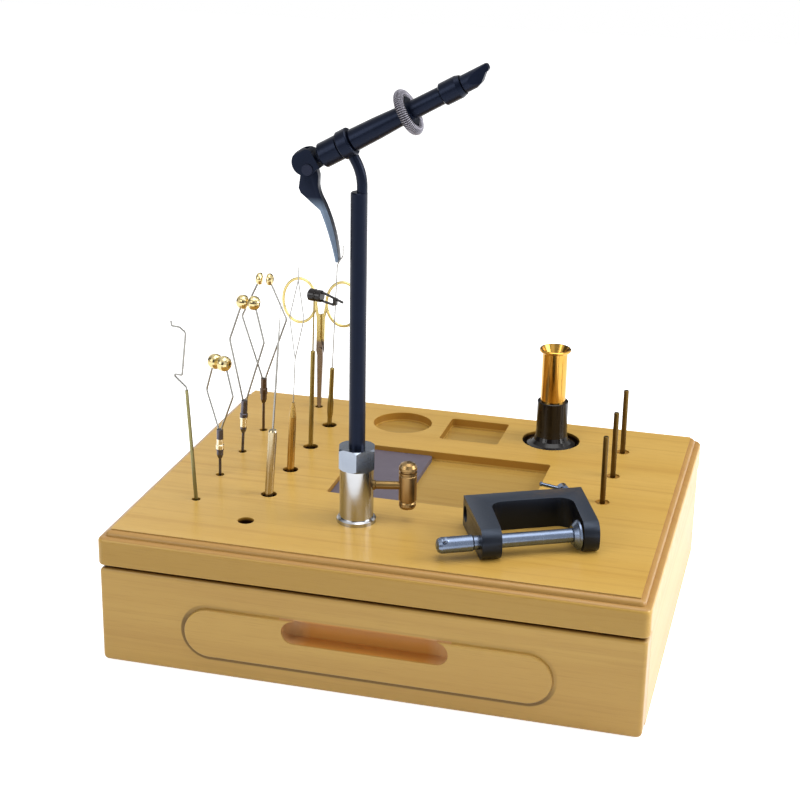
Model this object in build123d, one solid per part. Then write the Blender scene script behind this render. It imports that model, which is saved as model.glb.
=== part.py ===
"""Fly tying cabinet: a wooden box with a drawer, whose thick top carries a rotary vise and its tools.

Millimetres, +Z up. The origin is the centre of the footprint, on the surface that the cabinet stands on.
+X is to the right of someone who faces the drawer, and the drawer opens towards -Y.
"""

import math
import os

from build123d import *

# ------------------------------------------------------------------ cabinet
CABINET_WIDTH = 307.0
CABINET_DEPTH = 250.0          # drawer face to back
CARCASS_HEIGHT = 60.2          # floor to the underside of the top slab
SIDE_THICKNESS = 12.0
BACK_THICKNESS = 9.0
BOTTOM_THICKNESS = 5.0
BOTTOM_RAISE = 2.0             # bottom panel above the floor
SLAB_THICKNESS = 20.3
SLAB_SIDE_OVERHANG = 0.8
SLAB_END_OVERHANG = 1.5        # at the front and the back
SLAB_CORNER = 4.5              # corner radius in plan
LOWER_ROUND = 2.7              # moulded edge, from the outside in
LEDGE = 0.8
UPPER_ROUND = 3.0
TOP_STEP = 0.8
SLAB_FOOT_ROUND = 1.2
DOWEL_RADIUS = 3.0
DOWEL_DEPTH_PANEL = 14.0
DOWEL_DEPTH_SLAB = 9.0
DOWEL_CLEARANCE = 0.05
SIDE_DOWEL_PITCH = 88.0
BACK_DOWEL_PITCH = 160.0

# ------------------------------------------------------------------ drawer
FRONT_THICKNESS = 16.0
FRONT_FOOT_GAP = 0.5           # drawer front above the floor
FRONT_TOP_GAP = 2.0            # drawer front below the slab
FRONT_BACK_GAP = 0.6           # drawer front to the side panels
FRONT_EDGE_ROUND = 2.2
FRONT_CORNER = 3.0             # corner radius of the board, seen from the front
FIELD_LENGTH = 208.0           # raised pill on the drawer front
FIELD_HEIGHT = 29.0
FIELD_RAISE = 2.2
FIELD_CENTRE_X = 1.0
FIELD_CENTRE_Z = 27.2
FIELD_ROUND = 1.1
SLOT_LENGTH = 94.0             # finger slot in the upper half of the field
SLOT_HEIGHT = 13.5
SLOT_DEPTH = 11.0
SLOT_SCOOP = 9.0               # radius of the slot's ends, seen from above
DRAWER_SIDE_THICKNESS = 8.0
DRAWER_SIDE_GAP = 1.2
DRAWER_FLOOR_THICKNESS = 4.0
DRAWER_LIFT = 3.0              # drawer box above the bottom panel
DRAWER_BOX_HEIGHT = 42.0
DRAWER_FLOOR_RAISE = 2.0
DRAWER_BACK_GAP = 11.0         # behind the drawer box
RUNNER_HEIGHT = 8.0
RUNNER_REACH = 5.0
RUNNER_CLEARANCE = 0.4
RUNNER_SETBACK = 14.0          # runner end behind the side panel's front edge

# ------------------------------------------------------------------ recesses and holes in the slab
POCKET_DEPTH = 6.0
POCKET_CORNER = 2.0
LONG_POCKET = (119.0, 81.0)
LONG_POCKET_CENTRE = (10.7, 5.9)
SHEET_WIDTH = 44.0             # magnetic sheet in the left end of the long pocket
SHEET_THICKNESS = 3.0
SHEET_GAP = 0.3
SQUARE_POCKET = 38.0
SQUARE_POCKET_CENTRE = (12.7, 88.7)
ROUND_POCKET_RADIUS = 19.0
ROUND_POCKET_CENTRE = (-35.5, 90.0)
STACKER_POCKET_RADIUS = 18.2
STACKER_CENTRE = (62.7, 88.1)
STACKER_POCKET_DEPTH = 5.0
HOLE_DEPTH = 15.0
SMALL_HOLE_RADIUS = 2.6
LARGE_HOLE_RADIUS = 4.7
HOLE_FLOOR_GAP = 0.3           # tool tip above the hole's floor
SMALL_ROW_X = -117.6           # bobbin and whip finisher row
SMALL_ROW_FRONT_Y = -67.3
SMALL_ROW_PITCH = 39.3
LARGE_ROW_X = -79.8            # needle tool row, with its front hole empty
LARGE_ROW_FRONT_Y = -87.7
LARGE_ROW_PITCH = 39.85
SCISSOR_HOLE = (-96.6, 102.6)
SCISSOR_TIP_DEPTH = 9.5
PEG_X = 109.4
PEG_FRONT_Y = -1.7
PEG_PITCH = 41.4
PEG_RADIUS = 1.6
PEG_TENON_RADIUS = 1.3         # buried foot of each peg
PEG_HEIGHT = 41.0
PEG_BURIED = 12.0
PEG_SEAT_RADIUS = 4.2
PEG_SEAT_DEPTH = 0.8

# ------------------------------------------------------------------ vise: post, stem and head
POST_CENTRE = (-20.4, -68.7)
POST_FLANGE_RADIUS = 11.2
POST_FLANGE_HEIGHT = 3.0
POST_RADIUS = 9.6
POST_HEIGHT = 32.3             # flange foot to the nut's foot
SPIGOT_RADIUS = 8.0            # threaded top of the post, inside the nut
SPIGOT_HEIGHT = 8.0
NUT_HEIGHT = 12.6
NUT_ACROSS_FLATS = 19.8
NUT_TURN = -15.3               # one corner faces the front, degrees from +X towards +Y
NUT_CHAMFER = 1.2
STEM_RADIUS = 4.6
RUNNING_CLEARANCE = 0.05       # radial, for every turning or sliding fit
COLLET_WALL = 1.4
COLLET_LENGTH = 23.5
COLLET_FOOT = 8.0              # inside the post, above the slab
COLLET_FLOOR = 1.2
COLLET_SLIT = 1.0
STEM_FOOT_GAP = 0.3            # stem's end above the collet's floor
SCREW_RADIUS = 3.0             # machine screw that holds the post from below
SCREW_HEAD_RADIUS = 6.5
SCREW_HEAD_HEIGHT = 4.0
SCREW_HEAD_SINK = 5.0
SCREW_REACH = 6.0              # into the post
SCREW_HOLE_CLEARANCE = 0.3
BARREL_TILT = 29.25            # degrees above the horizontal
EYE_HEIGHT = 214.6             # eye's centre above the slab
NECK_OFFSET = 7.0              # eye's centre left of the stem's axis
NECK_RADIUS = 2.9
NECK_BEND_RADIUS = 27.0
SHOULDER_DROP = 25.4           # eye's centre to the top of the full-width stem
NECK_ROOT = 2.0                # neck inside the top of the stem
EYE_RADIUS = 7.9
EYE_HALF_WIDTH = 3.5
EYE_FACE_GAP = 0.2
JOURNAL_RADIUS = 4.5
JOURNAL_END = -9.0             # positions along the barrel are measured from the eye's centre
REAR_COLLAR_END = -16.0
REAR_COLLAR_RADIUS = 6.9
BARREL_REAR_RADIUS = 6.1
BARREL_FRONT_RADIUS = 4.8
BARREL_FRONT = 58.2
NOSE_RADIUS = 4.2
NOSE_END = 66.0
SPRING_SEAT = 38.0
SPRING_SEAT_RADIUS = 7.8
SPRING_GROOVE = 0.6
SPRING_SEAT_WIDTH = 4.4
COIL_RADIUS = 2.45             # material spring: a close coil bent into a ring round the barrel
COIL_WIRE_RADIUS = 0.32
COIL_TURNS = 38
COIL_SEAT_GAP = 0.05
COIL_RING_GAP = 20.0           # degrees left open between the ring's two ends
ROD_RADIUS = 2.5
CHAMBER_RADIUS = 3.8
CHAMBER_START = 10.0
CHAMBER_END = 50.0
ROD_FLANGE_START = 46.0
ROD_FLANGE_WIDTH = 1.5
RETURN_SPRING_INNER = 2.9
RETURN_SPRING_OUTER = 3.6
FRONT_COLLAR_RADIUS = 6.1
FRONT_COLLAR_START = 58.4
FRONT_COLLAR_END = 70.6
SHANK_RADIUS = 3.3             # jaws' shank
SHANK_START = 52.0
SHANK_THREAD = 5.0             # draw rod inside the shank
JAW_START = 71.3
JAW_RADIUS = 4.7
JAW_TIP = 87.0
JAW_SLIT = 0.3
JAW_SLIT_START = 60.0
CHEEK_ALONG = -24.3            # clevis cheeks' centre, along the barrel and above its axis
CHEEK_ABOVE = 1.2
CHEEK_RADIUS = 7.2
CLEVIS_HALF_WIDTH = 4.9
CLEVIS_GAP = 5.2
CLEVIS_START = -18.3
CLEVIS_SLOT_END = -20.0
CLEVIS_ROOT_WIDTH = 10.0
PIVOT_ALONG = -24.7            # cam lever's pivot, along the barrel and above its axis
PIVOT_ABOVE = -2.8
PIVOT_PIN_RADIUS = 1.5
PIVOT_HEAD_RADIUS = 3.0
PIVOT_PIN_HEAD = 0.8
LEVER_THICKNESS = 4.8
LEVER_HEAD_RADIUS = 4.3

# ------------------------------------------------------------------ thumb screw on the post
THUMB_SCREW_HEIGHT = 21.7
THUMB_SCREW_TURN = 14.7        # degrees from +X towards +Y
THUMB_SCREW_RADIUS = 2.9
THUMB_SHANK_RADIUS = 2.35      # between the post and the handle
THUMB_SCREW_TIP_GAP = 0.15     # tip to the collet
THUMB_HANDLE_DISTANCE = 28.7
THUMB_HANDLE_RADIUS = 5.2
THUMB_HANDLE_LENGTH = 28.4

# ------------------------------------------------------------------ C-clamp lying on the slab
CLAMP_CENTRE = (69.6, -90.1)   # a point on the clamp screw's axis
CLAMP_TURN = 27.5              # degrees from +X towards +Y
CLAMP_THICKNESS = 17.6
CLAMP_SPINE_BACK = 44.2        # from the screw's axis
CLAMP_SPINE_DEPTH = 12.4
CLAMP_LEFT = -12.0
CLAMP_RIGHT = 57.0
CLAMP_ARM_WIDTH = 11.0
CLAMP_ARM_SKEW = 3.0
CLAMP_RIGHT_ARM_END = 9.0      # arm's width at its end
CLAMP_ARM_REACH = 8.8          # arms past the screw's axis
CLAMP_WINDOW_ROUND = 8.0
CLAMP_END_ROUND = 7.5          # arm ends, seen along the screw
CLAMP_EDGE_ROUND = 1.0
CLAMP_SOCKET_RADIUS = 4.65     # takes the vise's stem
CLAMP_SOCKET_CENTRE = 38.0     # from the screw's axis
CLAMP_SCREW_RADIUS = 3.9
CLAMP_HEAD_RADIUS = 4.5
CLAMP_HEAD_START = -38.4
CLAMP_HEAD_END = -18.0
CLAMP_PAD_RADIUS = 8.2
CLAMP_PAD_THICKNESS = 4.0
CLAMP_PAD_SEAT = 0.3           # pad to the right arm
CLAMP_PAD_SOCKET = 2.5         # screw's ball in the pad
BAR_RADIUS = 1.3
BAR_HALF_LENGTH = 8.3
BAR_TILT = 45.0                # degrees below the slab's plane
BAR_INSET = 4.0                # bar's axis from the end of the head
SET_SCREW_ALONG = 52.3
SET_SCREW_TIP_GAP = 0.3        # outside the socket
SET_SCREW_RADIUS = 2.4
SET_SCREW_PROUD = 21.0
SET_BAR_RADIUS = 1.1
SET_BAR_LEFT = 14.8            # bar's reach each side of the set screw
SET_BAR_RIGHT = 5.2
SET_BAR_TILT = 18.0            # degrees, with its long end up
SET_BAR_INSET = 2.6

# ------------------------------------------------------------------ hair stacker
STACKER_FOOT_RADIUS = 16.2
STACKER_CUP_RADIUS = 9.8
STACKER_CUP_HEIGHT = 27.0      # above the slab
STACKER_TUBE_RADIUS = 7.9
STACKER_TUBE_TOP = 61.5
STACKER_FLANGE_RADIUS = 9.9
STACKER_BORE_RADIUS = 5.4
STACKER_MOUTH_RADIUS = 8.6
STACKER_FLOOR = -1.0

SLAB_TOP = CARCASS_HEIGHT + SLAB_THICKNESS
BOTTOM = (Align.CENTER, Align.CENTER, Align.MIN)


def turned(*outline):
    """Solid turned about Z from (radius, height) points, closed along the axis."""
    points = [(0, outline[0][1]), *outline, (0, outline[-1][1])]
    clean = [p for i, p in enumerate(points) if i == 0 or p != points[i - 1]]
    return revolve(Plane.XZ * make_face(Polyline(*clean, close=True)), Axis.Z)


def rod(radius, start, end):
    """Straight round bar along Z."""
    return Pos(0, 0, start) * Cylinder(radius, end - start, align=BOTTOM)


def wire_along(points, radius, bend):
    """Round wire of bent straight runs. bend is one radius or a list of one for each corner."""
    path = FilletPolyline(*points, radius=bend) if len(points) > 2 else Line(*points)
    section = Plane(origin=path @ 0, z_dir=path % 0) * Circle(radius)
    return sweep(section, path=path)


def in_xz(points):
    return [(x, 0, z) for x, z in points]


def save(name, *shapes):
    solids = [s for shape in shapes for s in shape.solids()]
    node = solids[0] if len(solids) == 1 else Compound(children=solids)
    node.label = name
    export_step(node, f"parts/{name}.step")


# ================================================================== cabinet
def slab_layer(inset, foot, top, least_corner=0.4):
    """One step of the moulded slab: a rounded plate drawn in by inset all round."""
    width = CABINET_WIDTH + 2 * (SLAB_SIDE_OVERHANG - inset)
    depth = CABINET_DEPTH + 2 * (SLAB_END_OVERHANG - inset)
    corner = max(SLAB_CORNER - inset, least_corner)
    return Pos(0, 0, foot) * extrude(RectangleRounded(width, depth, corner), top - foot)


def tool_holes():
    """(x, y, radius, depth) of each round tool hole in the slab."""
    small = [(SMALL_ROW_X, SMALL_ROW_FRONT_Y + i * SMALL_ROW_PITCH) for i in range(4)]
    large = [(LARGE_ROW_X, LARGE_ROW_FRONT_Y + i * LARGE_ROW_PITCH) for i in range(5)]
    holes = [(x, y, SMALL_HOLE_RADIUS, HOLE_DEPTH) for x, y in small]
    holes += [(x, y, LARGE_HOLE_RADIUS, HOLE_DEPTH) for x, y in large]
    holes.append((*SCISSOR_HOLE, SMALL_HOLE_RADIUS, SCISSOR_TIP_DEPTH + HOLE_FLOOR_GAP))
    return holes


def peg_places():
    return [(PEG_X, PEG_FRONT_Y + i * PEG_PITCH) for i in range(3)]


def dowel_places():
    side_x = (CABINET_WIDTH - SIDE_THICKNESS) / 2
    side_y = (carcass_front() + CABINET_DEPTH / 2) / 2
    back_y = (CABINET_DEPTH - BACK_THICKNESS) / 2
    places = [(x, side_y + i * SIDE_DOWEL_PITCH) for x in (-side_x, side_x) for i in (-1, 0, 1)]
    return places + [(x, back_y) for x in (-BACK_DOWEL_PITCH / 2, BACK_DOWEL_PITCH / 2)]


def carcass_front():
    """Y of the side panels' front edges."""
    return -CABINET_DEPTH / 2 + FRONT_THICKNESS + FRONT_BACK_GAP


def dowel_holes():
    reach = 0.5
    hole = rod(DOWEL_RADIUS + DOWEL_CLEARANCE, CARCASS_HEIGHT - DOWEL_DEPTH_PANEL - reach,
               CARCASS_HEIGHT + DOWEL_DEPTH_SLAB + reach)
    return [Pos(x, y) * hole for x, y in dowel_places()]


def pocket(size, centre, depth):
    plate = extrude(RectangleRounded(*size, POCKET_CORNER), depth)
    return Pos(*centre, SLAB_TOP - depth) * plate


def make_top_slab():
    upper_inset = LOWER_ROUND + LEDGE
    top_inset = upper_inset + UPPER_ROUND
    ledge_z = SLAB_TOP - TOP_STEP - UPPER_ROUND
    core_foot = CARCASS_HEIGHT + SLAB_FOOT_ROUND + 1
    lower = slab_layer(0, CARCASS_HEIGHT, ledge_z)
    lower = fillet(lower.faces().sort_by(Axis.Z)[-1].edges(), LOWER_ROUND)
    lower = fillet(lower.faces().sort_by(Axis.Z)[0].edges(), SLAB_FOOT_ROUND)
    upper = slab_layer(upper_inset, core_foot, SLAB_TOP - TOP_STEP, UPPER_ROUND + 0.1)
    upper = fillet(upper.faces().sort_by(Axis.Z)[-1].edges(), UPPER_ROUND)
    slab = lower + upper + slab_layer(top_inset, core_foot, SLAB_TOP)
    slab -= pocket(LONG_POCKET, LONG_POCKET_CENTRE, POCKET_DEPTH)
    slab -= pocket((SQUARE_POCKET, SQUARE_POCKET), SQUARE_POCKET_CENTRE, POCKET_DEPTH)
    slab -= Pos(*ROUND_POCKET_CENTRE) * rod(ROUND_POCKET_RADIUS, SLAB_TOP - POCKET_DEPTH, SLAB_TOP)
    slab -= Pos(*STACKER_CENTRE) * rod(STACKER_POCKET_RADIUS, SLAB_TOP - STACKER_POCKET_DEPTH, SLAB_TOP)
    for x, y, radius, depth in tool_holes():
        slab -= Pos(x, y) * rod(radius, SLAB_TOP - depth, SLAB_TOP)
    for x, y in peg_places():
        slab -= Pos(x, y) * rod(PEG_TENON_RADIUS, SLAB_TOP - PEG_BURIED, SLAB_TOP)
        slab -= Pos(x, y) * rod(PEG_SEAT_RADIUS, SLAB_TOP - PEG_SEAT_DEPTH, SLAB_TOP)
    screw_hole = rod(SCREW_RADIUS + SCREW_HOLE_CLEARANCE, CARCASS_HEIGHT, SLAB_TOP)
    head_top = CARCASS_HEIGHT + SCREW_HEAD_SINK
    head_hole = rod(SCREW_HEAD_RADIUS + SCREW_HOLE_CLEARANCE, CARCASS_HEIGHT, head_top)
    slab -= Pos(*POST_CENTRE) * (screw_hole + head_hole)
    for hole in dowel_holes():
        slab -= hole
    return slab


def make_side_panels():
    depth = CABINET_DEPTH / 2 - carcass_front()
    panel = Box(SIDE_THICKNESS, depth, CARCASS_HEIGHT, align=(Align.CENTER, Align.MIN, Align.MIN))
    x = (CABINET_WIDTH - SIDE_THICKNESS) / 2
    panels = [Pos(side * x, carcass_front()) * panel for side in (-1, 1)]
    holes = dowel_holes()
    return [panels[0] - holes[0:3], panels[1] - holes[3:6]]


def inner_width():
    return CABINET_WIDTH - 2 * SIDE_THICKNESS


def make_back_panel():
    panel = Box(inner_width(), BACK_THICKNESS, CARCASS_HEIGHT, align=(Align.CENTER, Align.MAX, Align.MIN))
    return Pos(0, CABINET_DEPTH / 2) * panel - dowel_holes()[6:]


def make_bottom_panel():
    depth = CABINET_DEPTH / 2 - BACK_THICKNESS - carcass_front()
    panel = Box(inner_width(), depth, BOTTOM_THICKNESS, align=(Align.CENTER, Align.MIN, Align.MIN))
    return Pos(0, carcass_front(), BOTTOM_RAISE) * panel


def make_dowels():
    dowel = rod(DOWEL_RADIUS, CARCASS_HEIGHT - DOWEL_DEPTH_PANEL, CARCASS_HEIGHT + DOWEL_DEPTH_SLAB)
    dowel = chamfer(dowel.edges().filter_by(GeomType.CIRCLE), 0.6)
    return [Pos(x, y) * dowel for x, y in dowel_places()]


def make_magnetic_sheet():
    left = LONG_POCKET_CENTRE[0] - LONG_POCKET[0] / 2 + SHEET_GAP
    depth = LONG_POCKET[1] - 2 * SHEET_GAP
    sheet = extrude(RectangleRounded(SHEET_WIDTH, depth, POCKET_CORNER), SHEET_THICKNESS)
    return Pos(left + SHEET_WIDTH / 2, LONG_POCKET_CENTRE[1], SLAB_TOP - POCKET_DEPTH) * sheet


def make_spool_pegs():
    tenon = rod(PEG_TENON_RADIUS, SLAB_TOP - PEG_BURIED, SLAB_TOP - PEG_SEAT_DEPTH)
    peg = rod(PEG_RADIUS, SLAB_TOP - PEG_SEAT_DEPTH, SLAB_TOP + PEG_HEIGHT)
    peg = tenon + chamfer(peg.faces().sort_by(Axis.Z)[-1].edges(), 0.3)
    return [Pos(x, y) * peg for x, y in peg_places()]


# ================================================================== drawer
def box_foot():
    return BOTTOM_RAISE + BOTTOM_THICKNESS + DRAWER_LIFT


def box_half_width():
    return inner_width() / 2 - DRAWER_SIDE_GAP


def box_front():
    return -CABINET_DEPTH / 2 + FRONT_THICKNESS


def box_back():
    return CABINET_DEPTH / 2 - BACK_THICKNESS - DRAWER_BACK_GAP


def runner_z():
    return box_foot() + DRAWER_BOX_HEIGHT / 2


def runner_front():
    return carcass_front() + RUNNER_SETBACK


def slot_cutter():
    """Finger slot, drawn on the field's plane with Z out of the drawer: upright walls and scooped ends."""
    outline = extrude(SlotOverall(SLOT_LENGTH, SLOT_HEIGHT), -SLOT_DEPTH)
    plan = RectangleRounded(SLOT_LENGTH, 2 * SLOT_DEPTH, SLOT_SCOOP)
    scoop = extrude(Plane.XZ * plan, SLOT_HEIGHT, both=True)
    return outline & scoop


def make_drawer_front():
    height = CARCASS_HEIGHT - FRONT_TOP_GAP - FRONT_FOOT_GAP
    face_y = -CABINET_DEPTH / 2
    board = Box(CABINET_WIDTH, FRONT_THICKNESS, height, align=(Align.CENTER, Align.MIN, Align.MIN))
    board = fillet(board.edges().filter_by(Axis.Y), FRONT_CORNER)
    board = Pos(0, face_y, FRONT_FOOT_GAP) * board
    board = fillet(board.faces().sort_by(Axis.Y)[0].edges(), FRONT_EDGE_ROUND)
    face = Plane(origin=(FIELD_CENTRE_X, face_y, FIELD_CENTRE_Z), x_dir=(1, 0, 0), z_dir=(0, -1, 0))
    field = face * extrude(SlotOverall(FIELD_LENGTH, FIELD_HEIGHT), FIELD_RAISE)
    field = fillet(field.faces().sort_by(Axis.Y)[0].edges(), FIELD_ROUND)
    front = board + field
    slot_centre = (FIELD_HEIGHT - SLOT_HEIGHT) / 2
    return front - face * (Pos(0, slot_centre, FIELD_RAISE) * slot_cutter())


def make_drawer_sides():
    length = box_back() - box_front()
    side = Box(DRAWER_SIDE_THICKNESS, length, DRAWER_BOX_HEIGHT, align=(Align.MAX, Align.MIN, Align.MIN))
    groove_depth = RUNNER_REACH - DRAWER_SIDE_GAP + RUNNER_CLEARANCE
    groove_height = RUNNER_HEIGHT + 2 * RUNNER_CLEARANCE
    groove_front = runner_front() - RUNNER_CLEARANCE
    groove = Box(groove_depth, box_back() - groove_front, groove_height,
                 align=(Align.MAX, Align.MIN, Align.CENTER))
    right = Pos(box_half_width(), box_front(), box_foot()) * side
    right -= Pos(box_half_width(), groove_front, runner_z()) * groove
    return [right, mirror(right, Plane.YZ)]


def box_inner_width():
    return 2 * (box_half_width() - DRAWER_SIDE_THICKNESS)


def make_drawer_back():
    back = Box(box_inner_width(), DRAWER_SIDE_THICKNESS, DRAWER_BOX_HEIGHT,
               align=(Align.CENTER, Align.MAX, Align.MIN))
    return Pos(0, box_back(), box_foot()) * back


def make_drawer_bottom():
    length = box_back() - DRAWER_SIDE_THICKNESS - box_front()
    floor = Box(box_inner_width(), length, DRAWER_FLOOR_THICKNESS, align=(Align.CENTER, Align.MIN, Align.MIN))
    return Pos(0, box_front(), box_foot() + DRAWER_FLOOR_RAISE) * floor


def make_drawer_runners():
    length = CABINET_DEPTH / 2 - BACK_THICKNESS - runner_front()
    runner = Box(RUNNER_REACH, length, RUNNER_HEIGHT, align=(Align.MAX, Align.MIN, Align.CENTER))
    right = Pos(inner_width() / 2, runner_front(), runner_z()) * runner
    return [right, mirror(right, Plane.YZ)]


# ================================================================== vise post
def at_post(shape):
    return Pos(*POST_CENTRE, SLAB_TOP) * shape


def collet_radius():
    return STEM_RADIUS + RUNNING_CLEARANCE + COLLET_WALL


def thumb_frame():
    """Frame with Z along the thumb screw, from the post's axis outwards, and X downwards."""
    turn = math.radians(THUMB_SCREW_TURN)
    axis = (math.cos(turn), math.sin(turn), 0)
    origin = (*POST_CENTRE, SLAB_TOP + THUMB_SCREW_HEIGHT)
    return Plane(origin=origin, x_dir=(0, 0, -1), z_dir=axis)


def make_vise_post():
    flange_chamfer = 0.9
    top = POST_HEIGHT + SPIGOT_HEIGHT
    post = turned(
        (POST_FLANGE_RADIUS, 0), (POST_FLANGE_RADIUS, POST_FLANGE_HEIGHT - flange_chamfer),
        (POST_FLANGE_RADIUS - flange_chamfer, POST_FLANGE_HEIGHT), (POST_RADIUS, POST_FLANGE_HEIGHT),
        (POST_RADIUS, POST_HEIGHT), (SPIGOT_RADIUS, POST_HEIGHT), (SPIGOT_RADIUS, top))
    post -= rod(collet_radius() + RUNNING_CLEARANCE, COLLET_FOOT, top)
    post -= rod(SCREW_RADIUS, 0, SCREW_REACH)
    hole = thumb_frame() * rod(THUMB_SCREW_RADIUS + RUNNING_CLEARANCE, 0, POST_RADIUS + 1)
    return at_post(post) - hole


def make_post_nut():
    across_corners = NUT_ACROSS_FLATS / math.cos(math.radians(30))
    radius = across_corners / 2
    prism = Pos(0, 0, POST_HEIGHT) * extrude(RegularPolygon(radius, 6, rotation=NUT_TURN), NUT_HEIGHT)
    shoulder = NUT_CHAMFER
    crown = turned(
        (radius - shoulder, POST_HEIGHT), (radius, POST_HEIGHT + shoulder),
        (radius, POST_HEIGHT + NUT_HEIGHT - shoulder), (radius - shoulder, POST_HEIGHT + NUT_HEIGHT))
    nut = prism & crown
    nut -= rod(SPIGOT_RADIUS + RUNNING_CLEARANCE, POST_HEIGHT, POST_HEIGHT + SPIGOT_HEIGHT + 0.5)
    nut -= rod(STEM_RADIUS + RUNNING_CLEARANCE, POST_HEIGHT, POST_HEIGHT + NUT_HEIGHT)
    return at_post(nut)


def make_stem_collet():
    top = COLLET_FOOT + COLLET_LENGTH
    collet = rod(collet_radius(), COLLET_FOOT, top)
    collet -= rod(STEM_RADIUS + RUNNING_CLEARANCE, COLLET_FOOT + COLLET_FLOOR, top)
    slit = Box(collet_radius() + 1, COLLET_SLIT, COLLET_LENGTH, align=(Align.MAX, Align.CENTER, Align.MIN))
    return at_post(collet - Pos(0, 0, COLLET_FOOT + 2 * COLLET_FLOOR) * slit)


def make_post_screw():
    head_foot = SCREW_HEAD_SINK - SCREW_HEAD_HEIGHT
    head = rod(SCREW_HEAD_RADIUS, head_foot, SCREW_HEAD_SINK)
    head = fillet(head.faces().sort_by(Axis.Z)[0].edges(), 1.2)
    cross = Box(7, 1.4, 1.6, align=BOTTOM) + Box(1.4, 7, 1.6, align=BOTTOM)
    shank = rod(SCREW_RADIUS, SCREW_HEAD_SINK, SLAB_THICKNESS + SCREW_REACH)
    screw = head + shank - Pos(0, 0, head_foot) * cross
    return Pos(*POST_CENTRE, CARCASS_HEIGHT) * screw


def make_thumb_screw():
    tip = collet_radius() + RUNNING_CLEARANCE + THUMB_SCREW_TIP_GAP
    thread_end = POST_RADIUS + 0.6
    screw = turned(
        (THUMB_SCREW_RADIUS - 0.5, tip), (THUMB_SCREW_RADIUS, tip + 0.5), (THUMB_SCREW_RADIUS, thread_end),
        (THUMB_SHANK_RADIUS, thread_end + 0.6), (THUMB_SHANK_RADIUS, THUMB_HANDLE_DISTANCE))
    return thumb_frame() * screw


def make_thumb_screw_handle():
    half = THUMB_HANDLE_LENGTH / 2
    r = THUMB_HANDLE_RADIUS
    bead = 5.6                 # each end bead's height
    groove = r - 0.9
    knob = turned(
        (2.0, -half), (r - 1.0, -half + 0.9), (r - 0.3, -half + 2.4), (r - 0.5, -half + 4.0),
        (groove, -half + bead - 0.9), (groove, -half + bead - 0.3), (r - 0.1, -half + bead + 0.2),
        (r - 0.1, half - bead - 2.4), (groove + 0.4, half - bead - 2.0), (groove + 0.4, half - bead - 1.5),
        (r, half - bead - 1.1), (r, half - bead - 0.3), (groove, half - bead), (groove, half - bead + 0.6),
        (r, half - bead + 1.3), (r - 0.1, half - 2.9), (r - 1.0, half - 1.2), (2.4, half - 0.2), (1.0, half))
    knob -= rod(0.6, half - 1.0, half)
    level = Plane(origin=(0, 0, 0), x_dir=(0, 1, 0), z_dir=(-1, 0, 0))
    placed = thumb_frame() * (Pos(0, 0, THUMB_HANDLE_DISTANCE) * (level * knob))
    return placed - thumb_frame() * rod(THUMB_SHANK_RADIUS, 0, THUMB_HANDLE_DISTANCE)


# ================================================================== vise stem and head
def eye_centre():
    x, y = POST_CENTRE
    return x - NECK_OFFSET, y, SLAB_TOP + EYE_HEIGHT


def barrel_frame():
    """Frame at the eye's centre: Z along the barrel towards the jaws, X up and back from it."""
    tilt = math.radians(BARREL_TILT)
    return Plane(origin=eye_centre(), x_dir=(-math.sin(tilt), 0, math.cos(tilt)),
                 z_dir=(math.cos(tilt), 0, math.sin(tilt)))


def make_vise_stem():
    tilt = math.radians(BARREL_TILT)
    foot = COLLET_FOOT + COLLET_FLOOR + STEM_FOOT_GAP
    shoulder = EYE_HEIGHT - SHOULDER_DROP
    shaft = turned(
        (STEM_RADIUS - 0.6, foot), (STEM_RADIUS, foot + 0.6), (STEM_RADIUS, shoulder - 0.6),
        (STEM_RADIUS - 0.6, shoulder))
    neck_x = STEM_RADIUS - NECK_RADIUS - 0.05
    corner_z = EYE_HEIGHT - (NECK_OFFSET + neck_x) / math.tan(tilt)
    reach = (JOURNAL_RADIUS + EYE_RADIUS) / 2
    end = (-NECK_OFFSET + reach * math.sin(tilt), EYE_HEIGHT - reach * math.cos(tilt))
    route = in_xz([(neck_x, shoulder - NECK_ROOT), (neck_x, corner_z), end])
    neck = wire_along(route, NECK_RADIUS, NECK_BEND_RADIUS)
    eye = rod(EYE_RADIUS, -EYE_HALF_WIDTH, EYE_HALF_WIDTH)
    eye = fillet(eye.edges().filter_by(GeomType.CIRCLE), 1.0)
    bore = rod(JOURNAL_RADIUS + RUNNING_CLEARANCE, -EYE_HALF_WIDTH, EYE_HALF_WIDTH)
    return at_post(shaft + neck) + barrel_frame() * eye - barrel_frame() * bore


def spring_groove_floor():
    return SPRING_SEAT_RADIUS - SPRING_GROOVE


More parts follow.
